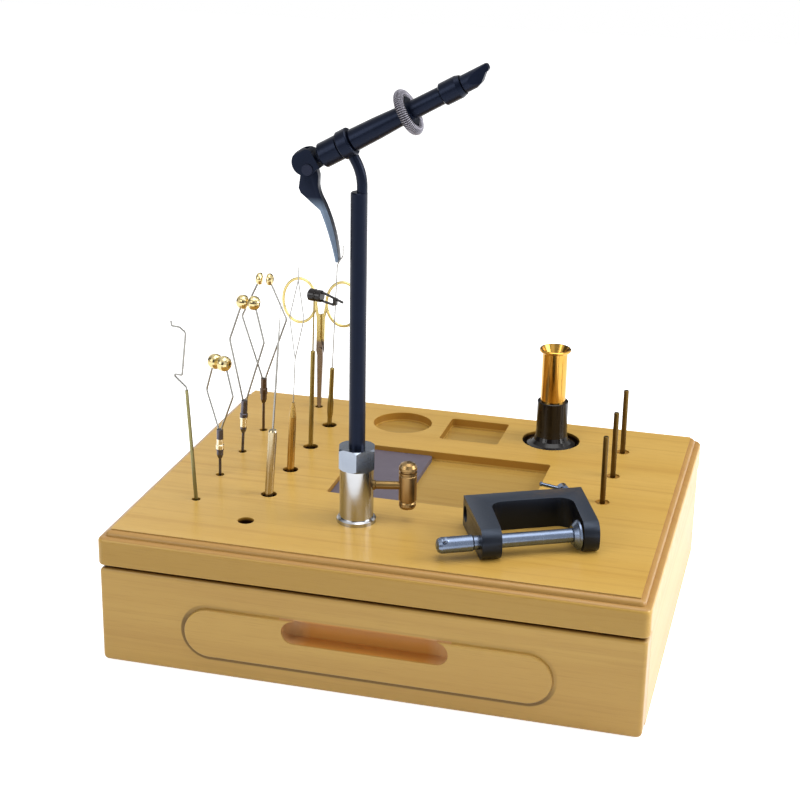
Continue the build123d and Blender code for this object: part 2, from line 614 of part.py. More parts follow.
def make_vise_barrel():
    shoulder = EYE_HALF_WIDTH + EYE_FACE_GAP
    seat_half = SPRING_SEAT_WIDTH / 2
    groove_half = SPRING_SEAT_WIDTH / 4
    groove_side = spring_groove_floor() + SPRING_GROOVE / 4
    barrel = turned(
        (JOURNAL_RADIUS, JOURNAL_END), (JOURNAL_RADIUS, shoulder), (BARREL_REAR_RADIUS - 0.6, shoulder),
        (BARREL_REAR_RADIUS, shoulder + 0.8), (BARREL_REAR_RADIUS - 0.3, SPRING_SEAT / 2),
        (BARREL_FRONT_RADIUS + 0.2, SPRING_SEAT - seat_half), (SPRING_SEAT_RADIUS, SPRING_SEAT - seat_half),
        (groove_side, SPRING_SEAT - groove_half), (spring_groove_floor(), SPRING_SEAT),
        (groove_side, SPRING_SEAT + groove_half), (SPRING_SEAT_RADIUS, SPRING_SEAT + seat_half),
        (BARREL_FRONT_RADIUS + 0.2, SPRING_SEAT + seat_half), (BARREL_FRONT_RADIUS, BARREL_FRONT),
        (NOSE_RADIUS, BARREL_FRONT), (NOSE_RADIUS, NOSE_END))
    barrel -= rod(ROD_RADIUS + RUNNING_CLEARANCE, JOURNAL_END, CHAMBER_START)
    barrel -= rod(CHAMBER_RADIUS, CHAMBER_START, CHAMBER_END)
    barrel -= rod(SHANK_RADIUS + RUNNING_CLEARANCE, CHAMBER_END, NOSE_END)
    return barrel_frame() * barrel


def make_rear_collar():
    bevel = 1.3
    front = -EYE_HALF_WIDTH - EYE_FACE_GAP
    collar = turned(
        (REAR_COLLAR_RADIUS - bevel, REAR_COLLAR_END), (REAR_COLLAR_RADIUS, REAR_COLLAR_END + bevel),
        (REAR_COLLAR_RADIUS, front - 0.6), (REAR_COLLAR_RADIUS - 0.6, front))
    collar -= rod(JOURNAL_RADIUS, JOURNAL_END, front)
    collar -= rod(ROD_RADIUS + RUNNING_CLEARANCE, REAR_COLLAR_END, JOURNAL_END)
    return barrel_frame() * collar


def ring_coil(ring, coil, turns, gap_degrees):
    """Points and directions, four a turn, of a coil of the given radius bent round a ring about Z."""
    sweep_angle = math.radians(360 - gap_degrees)
    start = math.radians(gap_degrees / 2) + math.pi
    steps = 4 * turns
    places = []
    for i in range(steps + 1):
        around = start + sweep_angle * i / steps
        twist = 2 * math.pi * turns * i / steps
        rate = 2 * math.pi * turns / sweep_angle
        radius = ring + coil * math.cos(twist)
        spoke = Vector(math.cos(around), math.sin(around), 0)
        forward = Vector(-math.sin(around), math.cos(around), 0)
        point = spoke * radius + Vector(0, 0, coil * math.sin(twist))
        direction = forward * radius - spoke * (coil * math.sin(twist) * rate)
        direction += Vector(0, 0, coil * math.cos(twist) * rate)
        places.append((point, direction.normalized()))
    return places


def biarc(start, start_dir, end, end_dir):
    """Two arcs that join two points with the given directions."""
    span = end - start
    both = start_dir + end_dir
    curve = 2 * (1 - start_dir.dot(end_dir))
    reach = (math.sqrt(span.dot(both) ** 2 + curve * span.dot(span)) - span.dot(both)) / curve
    middle = (start + start_dir * reach + end - end_dir * reach) * 0.5
    middle_dir = (end - end_dir * reach) - (start + start_dir * reach)
    return [Edge.make_tangent_arc(start, start_dir, middle), Edge.make_tangent_arc(middle, middle_dir, end)]


def coil_gap(places, wire, turns):
    """Least gap between neighbouring turns, measured between points of the path."""
    per_turn = (len(places) - 1) // turns
    points = [p for p, _ in places]
    nearest = min((a - b).length for a, b in zip(points, points[per_turn:]))
    return nearest - 2 * wire


def make_material_spring():
    ring = spring_groove_floor() + COIL_RADIUS + COIL_WIRE_RADIUS + COIL_SEAT_GAP
    places = ring_coil(ring, COIL_RADIUS, COIL_TURNS, COIL_RING_GAP)
    least_gap = coil_gap(places, COIL_WIRE_RADIUS, COIL_TURNS)
    print("material spring: least gap between turns", round(least_gap, 2))
    edges = []
    for (point, direction), (next_point, next_direction) in zip(places, places[1:]):
        edges += biarc(point, direction, next_point, next_direction)
    path = Wire(edges)
    section = Plane(origin=places[0][0], z_dir=places[0][1]) * Circle(COIL_WIRE_RADIUS)
    spring = sweep(section, path=path)
    return barrel_frame() * (Pos(0, 0, SPRING_SEAT) * spring)


def make_return_spring():
    spring = rod(RETURN_SPRING_OUTER, CHAMBER_START, ROD_FLANGE_START)
    spring -= rod(RETURN_SPRING_INNER, CHAMBER_START, ROD_FLANGE_START)
    return barrel_frame() * spring


def make_front_collar():
    bevel = 0.8
    collar = turned(
        (FRONT_COLLAR_RADIUS - bevel, FRONT_COLLAR_START), (FRONT_COLLAR_RADIUS, FRONT_COLLAR_START + bevel),
        (FRONT_COLLAR_RADIUS, FRONT_COLLAR_END - 3 * bevel), (FRONT_COLLAR_RADIUS - bevel, FRONT_COLLAR_END))
    collar -= rod(NOSE_RADIUS + RUNNING_CLEARANCE, FRONT_COLLAR_START, NOSE_END + 0.4)
    collar -= rod(SHANK_RADIUS + RUNNING_CLEARANCE, NOSE_END, FRONT_COLLAR_END)
    return barrel_frame() * collar


def make_collet_jaws():
    shank = rod(SHANK_RADIUS, SHANK_START, JAW_START)
    shank -= rod(ROD_RADIUS, SHANK_START, SHANK_START + SHANK_THREAD)
    side_view = make_face(
        Polyline((-JAW_RADIUS, JAW_START), (-JAW_RADIUS, 76.5), (-3.2, 80.6), (0.4, 84.6))
        + ThreePointArc((0.4, 84.6), (3.4, JAW_TIP), (JAW_RADIUS, 84.4))
        + Polyline((JAW_RADIUS, 84.4), (JAW_RADIUS, JAW_START), (-JAW_RADIUS, JAW_START)))
    tip_half = 1.7
    plan = make_face(Polyline(
        (-JAW_RADIUS, JAW_START), (-JAW_RADIUS, 74.5), (-tip_half, JAW_TIP), (tip_half, JAW_TIP),
        (JAW_RADIUS, 74.5), (JAW_RADIUS, JAW_START), close=True))
    jaw = rod(JAW_RADIUS, JAW_START, JAW_TIP)
    jaw &= extrude(Plane.XZ * side_view, JAW_RADIUS, both=True)
    jaw &= extrude(Plane.YZ * plan, JAW_RADIUS, both=True)
    slit = Box(4 * JAW_RADIUS, JAW_SLIT, JAW_TIP, align=BOTTOM)
    return barrel_frame() * (shank + jaw - Pos(0, 0, JAW_SLIT_START) * slit)


def make_draw_rod():
    """Rod through the barrel, with the spring's flange and the clevis that carries the cam lever."""
    body = rod(ROD_RADIUS, CLEVIS_START - 0.5, SHANK_START + SHANK_THREAD)
    body += rod(RETURN_SPRING_OUTER, ROD_FLANGE_START, ROD_FLANGE_START + ROD_FLANGE_WIDTH)
    across = Rot(90, 0, 0) * Cylinder(CHEEK_RADIUS, 2 * CLEVIS_HALF_WIDTH)
    clevis = Pos(CHEEK_ABOVE, 0, CHEEK_ALONG) * across
    root = Box(CLEVIS_ROOT_WIDTH, 2 * CLEVIS_HALF_WIDTH, CLEVIS_START - CHEEK_ALONG, align=BOTTOM)
    clevis += Pos(0, 0, CHEEK_ALONG) * root
    outer = CHEEK_RADIUS + CHEEK_ABOVE + 0.3
    clevis &= rod(outer, CHEEK_ALONG - CHEEK_RADIUS, CLEVIS_START)
    slot_length = CLEVIS_SLOT_END - CHEEK_ALONG + CHEEK_RADIUS
    slot = Box(4 * CHEEK_RADIUS, CLEVIS_GAP, slot_length, align=(Align.CENTER, Align.CENTER, Align.MAX))
    clevis -= Pos(0, 0, CLEVIS_SLOT_END) * slot
    pin_hole = Rot(90, 0, 0) * Cylinder(PIVOT_PIN_RADIUS, 4 * CLEVIS_HALF_WIDTH)
    clevis -= Pos(PIVOT_ABOVE, 0, PIVOT_ALONG) * pin_hole
    return barrel_frame() * (body + clevis)


def at_pivot(shape):
    """Moves a shape drawn about the pivot, in world directions, to the cam lever's pivot."""
    centre = barrel_frame().from_local_coords(Vector(PIVOT_ABOVE, 0, PIVOT_ALONG))
    return Pos(centre.X, centre.Y, centre.Z) * shape


def make_lever_pin():
    half = CLEVIS_HALF_WIDTH
    pin = rod(PIVOT_PIN_RADIUS, -half, half)
    head = rod(PIVOT_HEAD_RADIUS, half, half + PIVOT_PIN_HEAD)
    head += rod(PIVOT_HEAD_RADIUS, -half - PIVOT_PIN_HEAD, -half)
    return at_pivot(Rot(90, 0, 0) * (pin + head))


def make_cam_lever():
    """Flat lever between the clevis cheeks, drawn about its pivot and hanging down."""
    head_left, head_right = (-4.2, 0.4), (4.2, 0.4)
    heel_top, heel_foot = (-5.7, -10.6), (-4.6, -13.2)
    belly = (6.3, -22.1)
    tip_left, tip_right = (14.7, -48.9), (16.6, -48.6)
    back = (8.2, -17.2)
    waist = (5.1, -8.4)
    outline = make_face(
        Polyline(waist, (5.3, -3.2), head_right, head_left, heel_top, heel_foot, belly)
        + ThreePointArc(belly, (11.2, -35.5), tip_left)
        + ThreePointArc(tip_left, (15.9, -49.9), tip_right)
        + ThreePointArc(tip_right, (14.1, -33.2), back)
        + ThreePointArc(back, (6.0, -12.7), waist))
    lever = extrude(Plane.XZ * outline, LEVER_THICKNESS / 2, both=True)
    lever += Rot(90, 0, 0) * Cylinder(LEVER_HEAD_RADIUS, LEVER_THICKNESS)
    lever -= Rot(90, 0, 0) * Cylinder(PIVOT_PIN_RADIUS + RUNNING_CLEARANCE, 2 * LEVER_THICKNESS)
    return at_pivot(lever)


# ================================================================== C-clamp
def clamp_frame_plane():
    """Frame on the clamp screw's axis: X along the screw, Y towards the clamp's spine, Z up."""
    turn = math.radians(CLAMP_TURN)
    return Plane(origin=(*CLAMP_CENTRE, SLAB_TOP + CLAMP_THICKNESS / 2),
                 x_dir=(math.cos(turn), math.sin(turn), 0), z_dir=(0, 0, 1))


def along_screw(shape):
    """Turns a shape drawn along Z so that it lies along the clamp screw."""
    return clamp_frame_plane() * (Rot(0, 90, 0) * shape)


def make_clamp_frame():
    half = CLAMP_THICKNESS / 2
    spine_front = CLAMP_SPINE_BACK - CLAMP_SPINE_DEPTH
    outline = make_face(Polyline(
        (CLAMP_LEFT, CLAMP_SPINE_BACK), (CLAMP_RIGHT, CLAMP_SPINE_BACK),
        (CLAMP_RIGHT - 2 * CLAMP_ARM_SKEW, -CLAMP_ARM_REACH),
        (CLAMP_RIGHT - 2 * CLAMP_ARM_SKEW - CLAMP_RIGHT_ARM_END, -CLAMP_ARM_REACH),
        (CLAMP_RIGHT - CLAMP_ARM_WIDTH + 1.5, spine_front),
        (CLAMP_LEFT + CLAMP_ARM_WIDTH + 1, spine_front),
        (CLAMP_LEFT - CLAMP_ARM_SKEW + CLAMP_ARM_WIDTH, -CLAMP_ARM_REACH),
        (CLAMP_LEFT - CLAMP_ARM_SKEW, -CLAMP_ARM_REACH), close=True))
    window = outline.vertices().filter_by_position(Axis.Y, spine_front - 0.1, spine_front + 0.1)
    outline = fillet(window, CLAMP_WINDOW_ROUND)
    frame = extrude(outline, half, both=True)
    ends = frame.faces().filter_by(Axis.Y).sort_by(Axis.Y)[:2]
    frame = fillet(ends.edges().filter_by(Axis.X), CLAMP_END_ROUND)
    screw_hole = Rot(0, 90, 0) * rod(CLAMP_SCREW_RADIUS + RUNNING_CLEARANCE, 2 * CLAMP_LEFT, 0)
    socket = Rot(0, 90, 0) * rod(CLAMP_SOCKET_RADIUS, CLAMP_LEFT - 1, CLAMP_RIGHT + 1)
    set_hole = rod(SET_SCREW_RADIUS + RUNNING_CLEARANCE, CLAMP_SOCKET_CENTRE, CLAMP_SPINE_BACK + 1)
    frame -= screw_hole
    frame -= Pos(0, CLAMP_SOCKET_CENTRE) * socket
    frame -= set_screw_place() * set_hole
    return clamp_frame_plane() * frame


def arm_face():
    """Position along the screw of the right arm's inner face, at the screw's axis."""
    end = CLAMP_RIGHT - 2 * CLAMP_ARM_SKEW - CLAMP_RIGHT_ARM_END
    root = CLAMP_RIGHT - CLAMP_ARM_WIDTH + 1.5
    spine_front = CLAMP_SPINE_BACK - CLAMP_SPINE_DEPTH
    slope = (root - end) / (spine_front + CLAMP_ARM_REACH)
    return end + slope * (CLAMP_ARM_REACH - CLAMP_PAD_RADIUS)


def make_clamp_pad():
    face = arm_face() - CLAMP_PAD_SEAT
    rear = face - CLAMP_PAD_THICKNESS
    pad = turned(
        (CLAMP_SCREW_RADIUS + 1.4, rear), (CLAMP_PAD_RADIUS - 0.8, rear + 2.0), (CLAMP_PAD_RADIUS, rear + 2.6),
        (CLAMP_PAD_RADIUS, face - 0.4), (CLAMP_PAD_RADIUS - 0.4, face))
    pad -= rod(CLAMP_SCREW_RADIUS - 0.6 + RUNNING_CLEARANCE, rear, rear + CLAMP_PAD_SOCKET)
    return along_screw(pad)


def make_clamp_screw():
    pad_rear = arm_face() - CLAMP_PAD_SEAT - CLAMP_PAD_THICKNESS
    spigot = CLAMP_SCREW_RADIUS - 0.6
    dome = 2.6
    screw = turned(
        (1.6, CLAMP_HEAD_START), (CLAMP_HEAD_RADIUS - 0.9, CLAMP_HEAD_START + 0.8),
        (CLAMP_HEAD_RADIUS, CLAMP_HEAD_START + dome), (CLAMP_HEAD_RADIUS, CLAMP_HEAD_END - 0.8),
        (CLAMP_SCREW_RADIUS, CLAMP_HEAD_END), (CLAMP_SCREW_RADIUS, pad_rear - 0.2),
        (spigot, pad_rear - 0.2), (spigot, pad_rear + CLAMP_PAD_SOCKET - 0.3))
    hole = bar_place() * Cylinder(BAR_RADIUS + RUNNING_CLEARANCE, 4 * CLAMP_HEAD_RADIUS)
    return along_screw(screw) - clamp_frame_plane() * hole


def bar_place():
    """Place of the tommy bar in the clamp's frame: across the screw, with its front end tipped down."""
    return Pos(CLAMP_HEAD_START + BAR_INSET, 0, 0) * Rot(90 - BAR_TILT, 0, 0)


def tommy_bar(radius, half_length):
    ball = radius + 0.35
    return turned(
        (radius * 0.6, -half_length), (ball, -half_length + 0.5), (ball, -half_length + 1.3),
        (radius, -half_length + 1.6), (radius, half_length - 1.6), (ball, half_length - 1.3),
        (ball, half_length - 0.5), (radius * 0.6, half_length))


def make_clamp_bar():
    return clamp_frame_plane() * (bar_place() * tommy_bar(BAR_RADIUS, BAR_HALF_LENGTH))


def set_screw_place():
    return Pos(SET_SCREW_ALONG, 0, 0) * Rot(-90, 0, 0)


def make_set_screw():
    tip = CLAMP_SOCKET_CENTRE + CLAMP_SOCKET_RADIUS + SET_SCREW_TIP_GAP
    end = CLAMP_SPINE_BACK + SET_SCREW_PROUD
    screw = turned(
        (SET_SCREW_RADIUS - 0.5, tip), (SET_SCREW_RADIUS, tip + 0.5), (SET_SCREW_RADIUS, end - 5.6),
        (SET_SCREW_RADIUS + 0.9, end - 5.2), (SET_SCREW_RADIUS + 0.9, end - 0.8), (SET_SCREW_RADIUS, end))
    return clamp_frame_plane() * (set_screw_place() * screw - set_bar_place() * Cylinder(SET_BAR_RADIUS, 20))


def set_bar_place():
    """Place of the set screw's bar in the clamp's frame: across the screw, with its long left end up."""
    along = CLAMP_SPINE_BACK + SET_SCREW_PROUD - SET_BAR_INSET
    return Pos(SET_SCREW_ALONG, along, 0) * Rot(0, SET_BAR_TILT - 90, 0)


def make_set_screw_bar():
    middle = (SET_BAR_LEFT - SET_BAR_RIGHT) / 2
    bar = Pos(0, 0, middle) * tommy_bar(SET_BAR_RADIUS, (SET_BAR_LEFT + SET_BAR_RIGHT) / 2)
    return clamp_frame_plane() * (set_bar_place() * bar)


# ================================================================== tools in the slab's holes
def tool_place(x, y, lean, turn=0.0):
    """Frame of a tool in its hole: Z up the tool, leaning by lean degrees towards +X, turned about its axis."""
    return Pos(x, y, SLAB_TOP) * Rot(0, lean, 0) * Rot(0, 0, turn)


def small_hole(i):
    return SMALL_ROW_X, SMALL_ROW_FRONT_Y + i * SMALL_ROW_PITCH


def large_hole(i):
    return LARGE_ROW_X, LARGE_ROW_FRONT_Y + i * LARGE_ROW_PITCH


def tool_foot(radius, lean):
    """Height of a tool's lower end, clear of the hole's floor by HOLE_FLOOR_GAP at its lowest edge."""
    tilt = math.radians(abs(lean))
    return (-HOLE_DEPTH + HOLE_FLOOR_GAP + radius * math.sin(tilt)) / math.cos(tilt)


WHIP_LEAN = -3.5
WHIP_TOP = 66.7
WHIP_FOOT_RADIUS = 1.15
WHIP_TOP_RADIUS = 0.95
WHIP_WIRE_RADIUS = 0.55
WHIP_SOCKET = 6.0              # wire inside the handle


def make_whip_finisher():
    foot = tool_foot(WHIP_FOOT_RADIUS, WHIP_LEAN)
    handle = turned((WHIP_FOOT_RADIUS, foot), (WHIP_TOP_RADIUS, WHIP_TOP))
    handle -= rod(WHIP_WIRE_RADIUS + RUNNING_CLEARANCE, WHIP_TOP - WHIP_SOCKET, WHIP_TOP)
    route = [(0, WHIP_TOP - WHIP_SOCKET + 0.3), (0, 68.4), (-7.6, 76.1), (-2.0, 75.6), (2.4, 101.0),
             (-1.0, 104.0), (-5.6, 104.6), (-5.9, 107.6)]
    bends = [1.6, 0.7, 0.8, 2.0, 1.4, 0.8]
    wire = wire_along(in_xz(route), WHIP_WIRE_RADIUS, bends)
    place = tool_place(*small_hole(0), WHIP_LEAN)
    return place * handle, place * wire


# hole, lean, turn, cup height, cup radius, cup length, half gap, arm half spread at the cups, half spread,
# height of the widest point, height of the ferrule's foot, collar and top
BOBBINS = (
    dict(hole=1, lean=0.9, turn=-20.0, cup_z=71.0, cup_radius=4.6, cup_length=7.0, half_gap=0.15,
         half_top=5.4, half_spread=10.2, spread_z=52.0, foot=10.8, collar=16.0, top=29.0),
    dict(hole=2, lean=3.1, turn=8.0, cup_z=97.0, cup_radius=4.4, cup_length=6.8, half_gap=0.15,
         half_top=4.6, half_spread=10.6, spread_z=72.5, foot=13.0, collar=22.0, top=34.0),
    dict(hole=3, lean=1.1, turn=6.0, cup_z=100.5, cup_radius=3.9, cup_length=4.2, half_gap=1.2,
         half_top=4.2, half_spread=14.3, spread_z=75.5, foot=18.9, collar=25.0, top=35.0),
)
BOBBIN_TUBE_RADIUS = 0.85
BOBBIN_TUBE_BORE = 0.45
BOBBIN_WIRE_RADIUS = 0.6
FERRULE_RADIUS = 2.0
COLLAR_RADIUS = 2.45
COLLAR_HEIGHT = 3.2


def make_bobbin(size):
    """(tube with its ferrule, wire arms, spool cups) of one bobbin holder."""
    place = tool_place(*small_hole(size["hole"]), size["lean"], size["turn"])
    foot, collar, top = size["foot"], size["collar"], size["top"]
    tube_foot = tool_foot(BOBBIN_TUBE_RADIUS, size["lean"])
    tube = turned(
        (BOBBIN_TUBE_RADIUS, tube_foot), (BOBBIN_TUBE_RADIUS, foot - 0.6), (FERRULE_RADIUS - 0.5, foot + 0.6),
        (FERRULE_RADIUS, foot + 2.2), (FERRULE_RADIUS, collar - 0.3), (COLLAR_RADIUS, collar),
        (COLLAR_RADIUS, collar + COLLAR_HEIGHT), (FERRULE_RADIUS, collar + COLLAR_HEIGHT + 0.3),
        (FERRULE_RADIUS, top))
    tube -= rod(BOBBIN_TUBE_BORE, tube_foot, top)
    root = 1.25                # arms stand this far each side of the axis where they leave the ferrule
    arms, cups = [], []
    for side in (-1, 1):
        route = [(side * root, collar + COLLAR_HEIGHT + 1), (side * root, top + 1.0),
                 (side * size["half_spread"], size["spread_z"]),
                 (side * size["half_top"], size["cup_z"] - size["cup_radius"] + 1.2),
                 (side * size["half_top"], size["cup_z"])]
        arm = wire_along(in_xz(route), BOBBIN_WIRE_RADIUS, [8.0, 4.0, 2.0])
        arms.append(arm)
        cups.append(spool_cup(size, side) - arm)
    for arm in arms:
        tube -= arm
    return place * tube, [place * arm for arm in arms], [place * cup for cup in cups]


def spool_cup(size, side):
    """Turned cup that plugs one end of a spool, with its axis along the row of the two arms."""
    r, length, gap = size["cup_radius"], size["cup_length"], size["half_gap"]
    cup = turned(
        (r * 0.5, gap), (r * 0.83, gap + 0.1 * length), (r * 0.97, gap + 0.25 * length), (r, gap + 0.45 * length),
        (r * 0.97, gap + 0.65 * length), (r * 0.83, gap + 0.85 * length), (r * 0.55, gap + length))
    cup -= rod(r * 0.38, gap + 0.7 * length, gap + length)
    return Pos(0, 0, size["cup_z"]) * Rot(0, 90 * side, 0) * cup


BODKIN_LEAN = 4.0
BODKIN_RADIUS = 2.55
BODKIN_TOP = 40.6
BODKIN_TIP = 117.8
BODKIN_NEEDLE_RADIUS = 0.6
NEEDLE_SOCKET = 8.0            # each needle inside its handle


def needle_hole(radius, top):
    return rod(radius, top - NEEDLE_SOCKET, top)


def make_bodkin():
    foot = tool_foot(BODKIN_RADIUS, BODKIN_LEAN)
    handle = turned(
        (BODKIN_RADIUS - 0.3, foot), (BODKIN_RADIUS, foot + 0.3), (BODKIN_RADIUS, BODKIN_TOP - 1.0),
        (BODKIN_RADIUS - 0.5, BODKIN_TOP))
    handle -= needle_hole(BODKIN_NEEDLE_RADIUS, BODKIN_TOP)
    needle = turned(
        (BODKIN_NEEDLE_RADIUS, BODKIN_TOP - NEEDLE_SOCKET), (BODKIN_NEEDLE_RADIUS, BODKIN_TIP - 30),
        (0.12, BODKIN_TIP))
    place = tool_place(*large_hole(1), BODKIN_LEAN)
    return place * handle, place * needle


THREADER_LEAN = 2.6
THREADER_RADIUS = 2.25
THREADER_TOP = 43.4
THREADER_WIRE_RADIUS = 0.3


def make_threader():
    foot = tool_foot(THREADER_RADIUS, THREADER_LEAN)
    handle = turned(
        (THREADER_RADIUS - 0.3, foot), (THREADER_RADIUS, foot + 0.3), (THREADER_RADIUS, THREADER_TOP - 9.0),
        (1.0, THREADER_TOP))
    handle -= needle_hole(THREADER_WIRE_RADIUS, THREADER_TOP)
    loop_foot, loop_wide, loop_top, end = 71.6, 96.5, 119.2, 127.4
    half = 4.4
    wire = rod(THREADER_WIRE_RADIUS, THREADER_TOP - NEEDLE_SOCKET, loop_foot)
    wire += rod(THREADER_WIRE_RADIUS, loop_top, end)
    for side in (-1, 1):
        corners = in_xz([(0, loop_foot - 0.5), (side * half, loop_wide), (0, loop_top + 0.5)])
        wire += wire_along(corners, THREADER_WIRE_RADIUS, 6.0)
    place = tool_place(*large_hole(2), THREADER_LEAN)
    return place * handle, place * wire


PLIERS_LEAN = 1.4
PLIERS_RADIUS = 1.45
PLIERS_TOP = 63.2
PLIERS_SHAFT_RADIUS = 0.5
PLIERS_HEAD_Z = 99.0
PLIERS_KNOB_RADIUS = 3.8
PLIERS_TURN = -12.0


def make_hackle_pliers():
    """(handle with its shaft, turning head, black jaw spring)."""
    foot = tool_foot(PLIERS_RADIUS, PLIERS_LEAN)
    shaft_top = PLIERS_HEAD_Z + 0.5
    handle = turned(
        (PLIERS_RADIUS - 0.3, foot), (PLIERS_RADIUS, foot + 0.3), (PLIERS_RADIUS, PLIERS_TOP - 0.4),
        (PLIERS_RADIUS - 0.4, PLIERS_TOP), (PLIERS_SHAFT_RADIUS, PLIERS_TOP), (PLIERS_SHAFT_RADIUS, shaft_top))
    r = PLIERS_KNOB_RADIUS
    knob = turned(
        (r - 0.7, -3.4), (r, -2.7), (r, 0.9), (r - 0.5, 1.4), (r - 0.5, 1.9), (r - 0.1, 2.4), (r - 0.1, 5.0),
        (r - 0.7, 5.6))
    head = Pos(0, 0, PLIERS_HEAD_Z) * Rot(0, 90, 0) * knob
    head -= rod(PLIERS_SHAFT_RADIUS + RUNNING_CLEARANCE, PLIERS_HEAD_Z - 2 * r, shaft_top + 0.5)
    z = PLIERS_HEAD_Z
    upper = wire_along(in_xz([(4.0, z + 2.3), (7.0, z + 2.3), (20.0, z - 1.4)]), 0.75, 3.0)
    lower = wire_along(in_xz([(4.0, z - 2.5), (14.2, z - 4.0), (15.6, z + 0.4)]), 0.75, 1.6)
    pad = Pos(14.6, 0, z - 1.6) * Box(2.2, 2.4, 4.2)
    spring = upper + lower + pad
    place = tool_place(*large_hole(3), PLIERS_LEAN, PLIERS_TURN)
    return place * handle, place * (head - spring), place * spring


HITCH_LEAN = 2.6
HITCH_RADIUS = 1.5
HITCH_TOP = 39.2
HITCH_NEEDLE_RADIUS = 0.35


def make_half_hitch_tool():
    foot = tool_foot(HITCH_RADIUS, HITCH_LEAN)
    swell = HITCH_RADIUS + 0.45
    handle = turned(
        (HITCH_RADIUS - 0.3, foot), (HITCH_RADIUS, foot + 0.3), (HITCH_RADIUS, 5.0), (swell, 9.0),
        (swell, 16.5), (HITCH_RADIUS, 22.0), (HITCH_RADIUS, HITCH_TOP - 0.4), (HITCH_RADIUS - 0.4, HITCH_TOP))
    handle -= needle_hole(HITCH_NEEDLE_RADIUS, HITCH_TOP)
    route = [(0, HITCH_TOP - NEEDLE_SOCKET), (0, 108.0), (3.4, 114.0), (3.1, 120.8)]
    needle = wire_along(in_xz(route), HITCH_NEEDLE_RADIUS, [6.0, 3.0])
    place = tool_place(*large_hole(4), HITCH_LEAN)
    return place * handle, place * needle


SCISSOR_LEAN = 1.2
SCISSOR_PIVOT_Z = 40.0
SCISSOR_BLADE = 1.6            # thickness of each half
SCISSOR_GAP = 0.1              # between the halves
SCISSOR_RING_X = 14.5
SCISSOR_RING_Z = 72.5
SCISSOR_RING_HALF = (11.2, 14.8)
SCISSOR_WIRE_RADIUS = 0.95
SCISSOR_SCREW_RADIUS = 1.2


def make_scissor_half(side):
    """Half with its ring on the given side and its blade on the other, before it is placed."""
    z = SCISSOR_PIVOT_Z
    tip = -SCISSOR_TIP_DEPTH
    outline = make_face(Polyline(
        (-side * 0.45, tip), (-side * 1.5, 2.0), (-side * 2.2, z - 6), (-side * 1.9, z + 3),
        (-side * 0.3, z + 8), (-side * 0.1, SCISSOR_RING_Z - 8), (side * 2.6, SCISSOR_RING_Z - 8),
        (side * 2.3, z + 10), (side * 2.4, z), (side * 0.4, z - 10), (side * 0.25, tip), close=True))
    plate = extrude(Plane.XZ * outline, SCISSOR_BLADE / 2, both=True)
    half_x, half_z = SCISSOR_RING_HALF
    ring_path = Plane.XZ * Ellipse(half_x, half_z).edges()[0]
    section = Plane(origin=ring_path @ 0, z_dir=ring_path % 0) * Circle(SCISSOR_WIRE_RADIUS)
    ring = Pos(side * SCISSOR_RING_X, 0, SCISSOR_RING_Z) * sweep(section, path=Wire([ring_path]))
    bridge_route = [(side * 1.5, SCISSOR_RING_Z - 12), (side * (SCISSOR_RING_X - half_x), SCISSOR_RING_Z - 2)]
    bridge = wire_along(in_xz(bridge_route), SCISSOR_WIRE_RADIUS, 1.0)
    half = plate + ring + bridge
    limit = Box(80, SCISSOR_BLADE, 120, align=BOTTOM)
    half &= Pos(0, 0, tip) * limit
    y = side * (SCISSOR_BLADE + SCISSOR_GAP) / 2
    return Pos(0, y, 0) * half


def make_scissors():
    reach = SCISSOR_BLADE + SCISSOR_GAP / 2
    place = tool_place(*SCISSOR_HOLE, SCISSOR_LEAN)
    across = Pos(0, 0, SCISSOR_PIVOT_Z) * Rot(90, 0, 0)
    hole = across * Cylinder(SCISSOR_SCREW_RADIUS + RUNNING_CLEARANCE, 4 * reach)
    tight_hole = across * Cylinder(SCISSOR_SCREW_RADIUS, 4 * reach)
    screw = rod(SCISSOR_SCREW_RADIUS, -reach, reach + 0.1)
    screw += rod(SCISSOR_SCREW_RADIUS + 0.9, reach + 0.1, reach + 0.8)
    screw = across * screw
    left = make_scissor_half(-1) - hole
    right = make_scissor_half(1) - tight_hole
    return place * left, place * right, place * screw


# ================================================================== hair stacker
def make_stacker_cup():
    foot = -STACKER_POCKET_DEPTH
    cup = turned(
        (STACKER_FOOT_RADIUS - 0.6, foot), (STACKER_FOOT_RADIUS, foot + 0.8), (STACKER_FOOT_RADIUS, foot + 2.2),
        (STACKER_FOOT_RADIUS - 0.9, foot + 3.4), (STACKER_FOOT_RADIUS - 3.2, foot + 4.4),
        (STACKER_CUP_RADIUS + 1.2, 1.4), (STACKER_CUP_RADIUS + 0.3, 4.0), (STACKER_CUP_RADIUS, 8.0),
        (STACKER_CUP_RADIUS, STACKER_CUP_HEIGHT - 0.4), (STACKER_CUP_RADIUS - 0.4, STACKER_CUP_HEIGHT))
    cup -= rod(STACKER_TUBE_RADIUS + RUNNING_CLEARANCE, STACKER_FLOOR, STACKER_CUP_HEIGHT)
    return Pos(*STACKER_CENTRE, SLAB_TOP) * cup


def make_stacker_tube():
    top = STACKER_TUBE_TOP
    flange = 2.0
    tube = turned(
        (STACKER_TUBE_RADIUS, STACKER_FLOOR), (STACKER_TUBE_RADIUS, top - flange - 0.5),
        (STACKER_FLANGE_RADIUS - 0.5, top - flange), (STACKER_FLANGE_RADIUS, top - flange + 0.5),
        (STACKER_FLANGE_RADIUS, top - 0.5), (STACKER_FLANGE_RADIUS - 0.5, top))
    funnel = turned(
        (STACKER_BORE_RADIUS, STACKER_FLOOR), (STACKER_BORE_RADIUS, top - 6), (STACKER_MOUTH_RADIUS, top))
    return Pos(*STACKER_CENTRE, SLAB_TOP) * (tube - funnel)


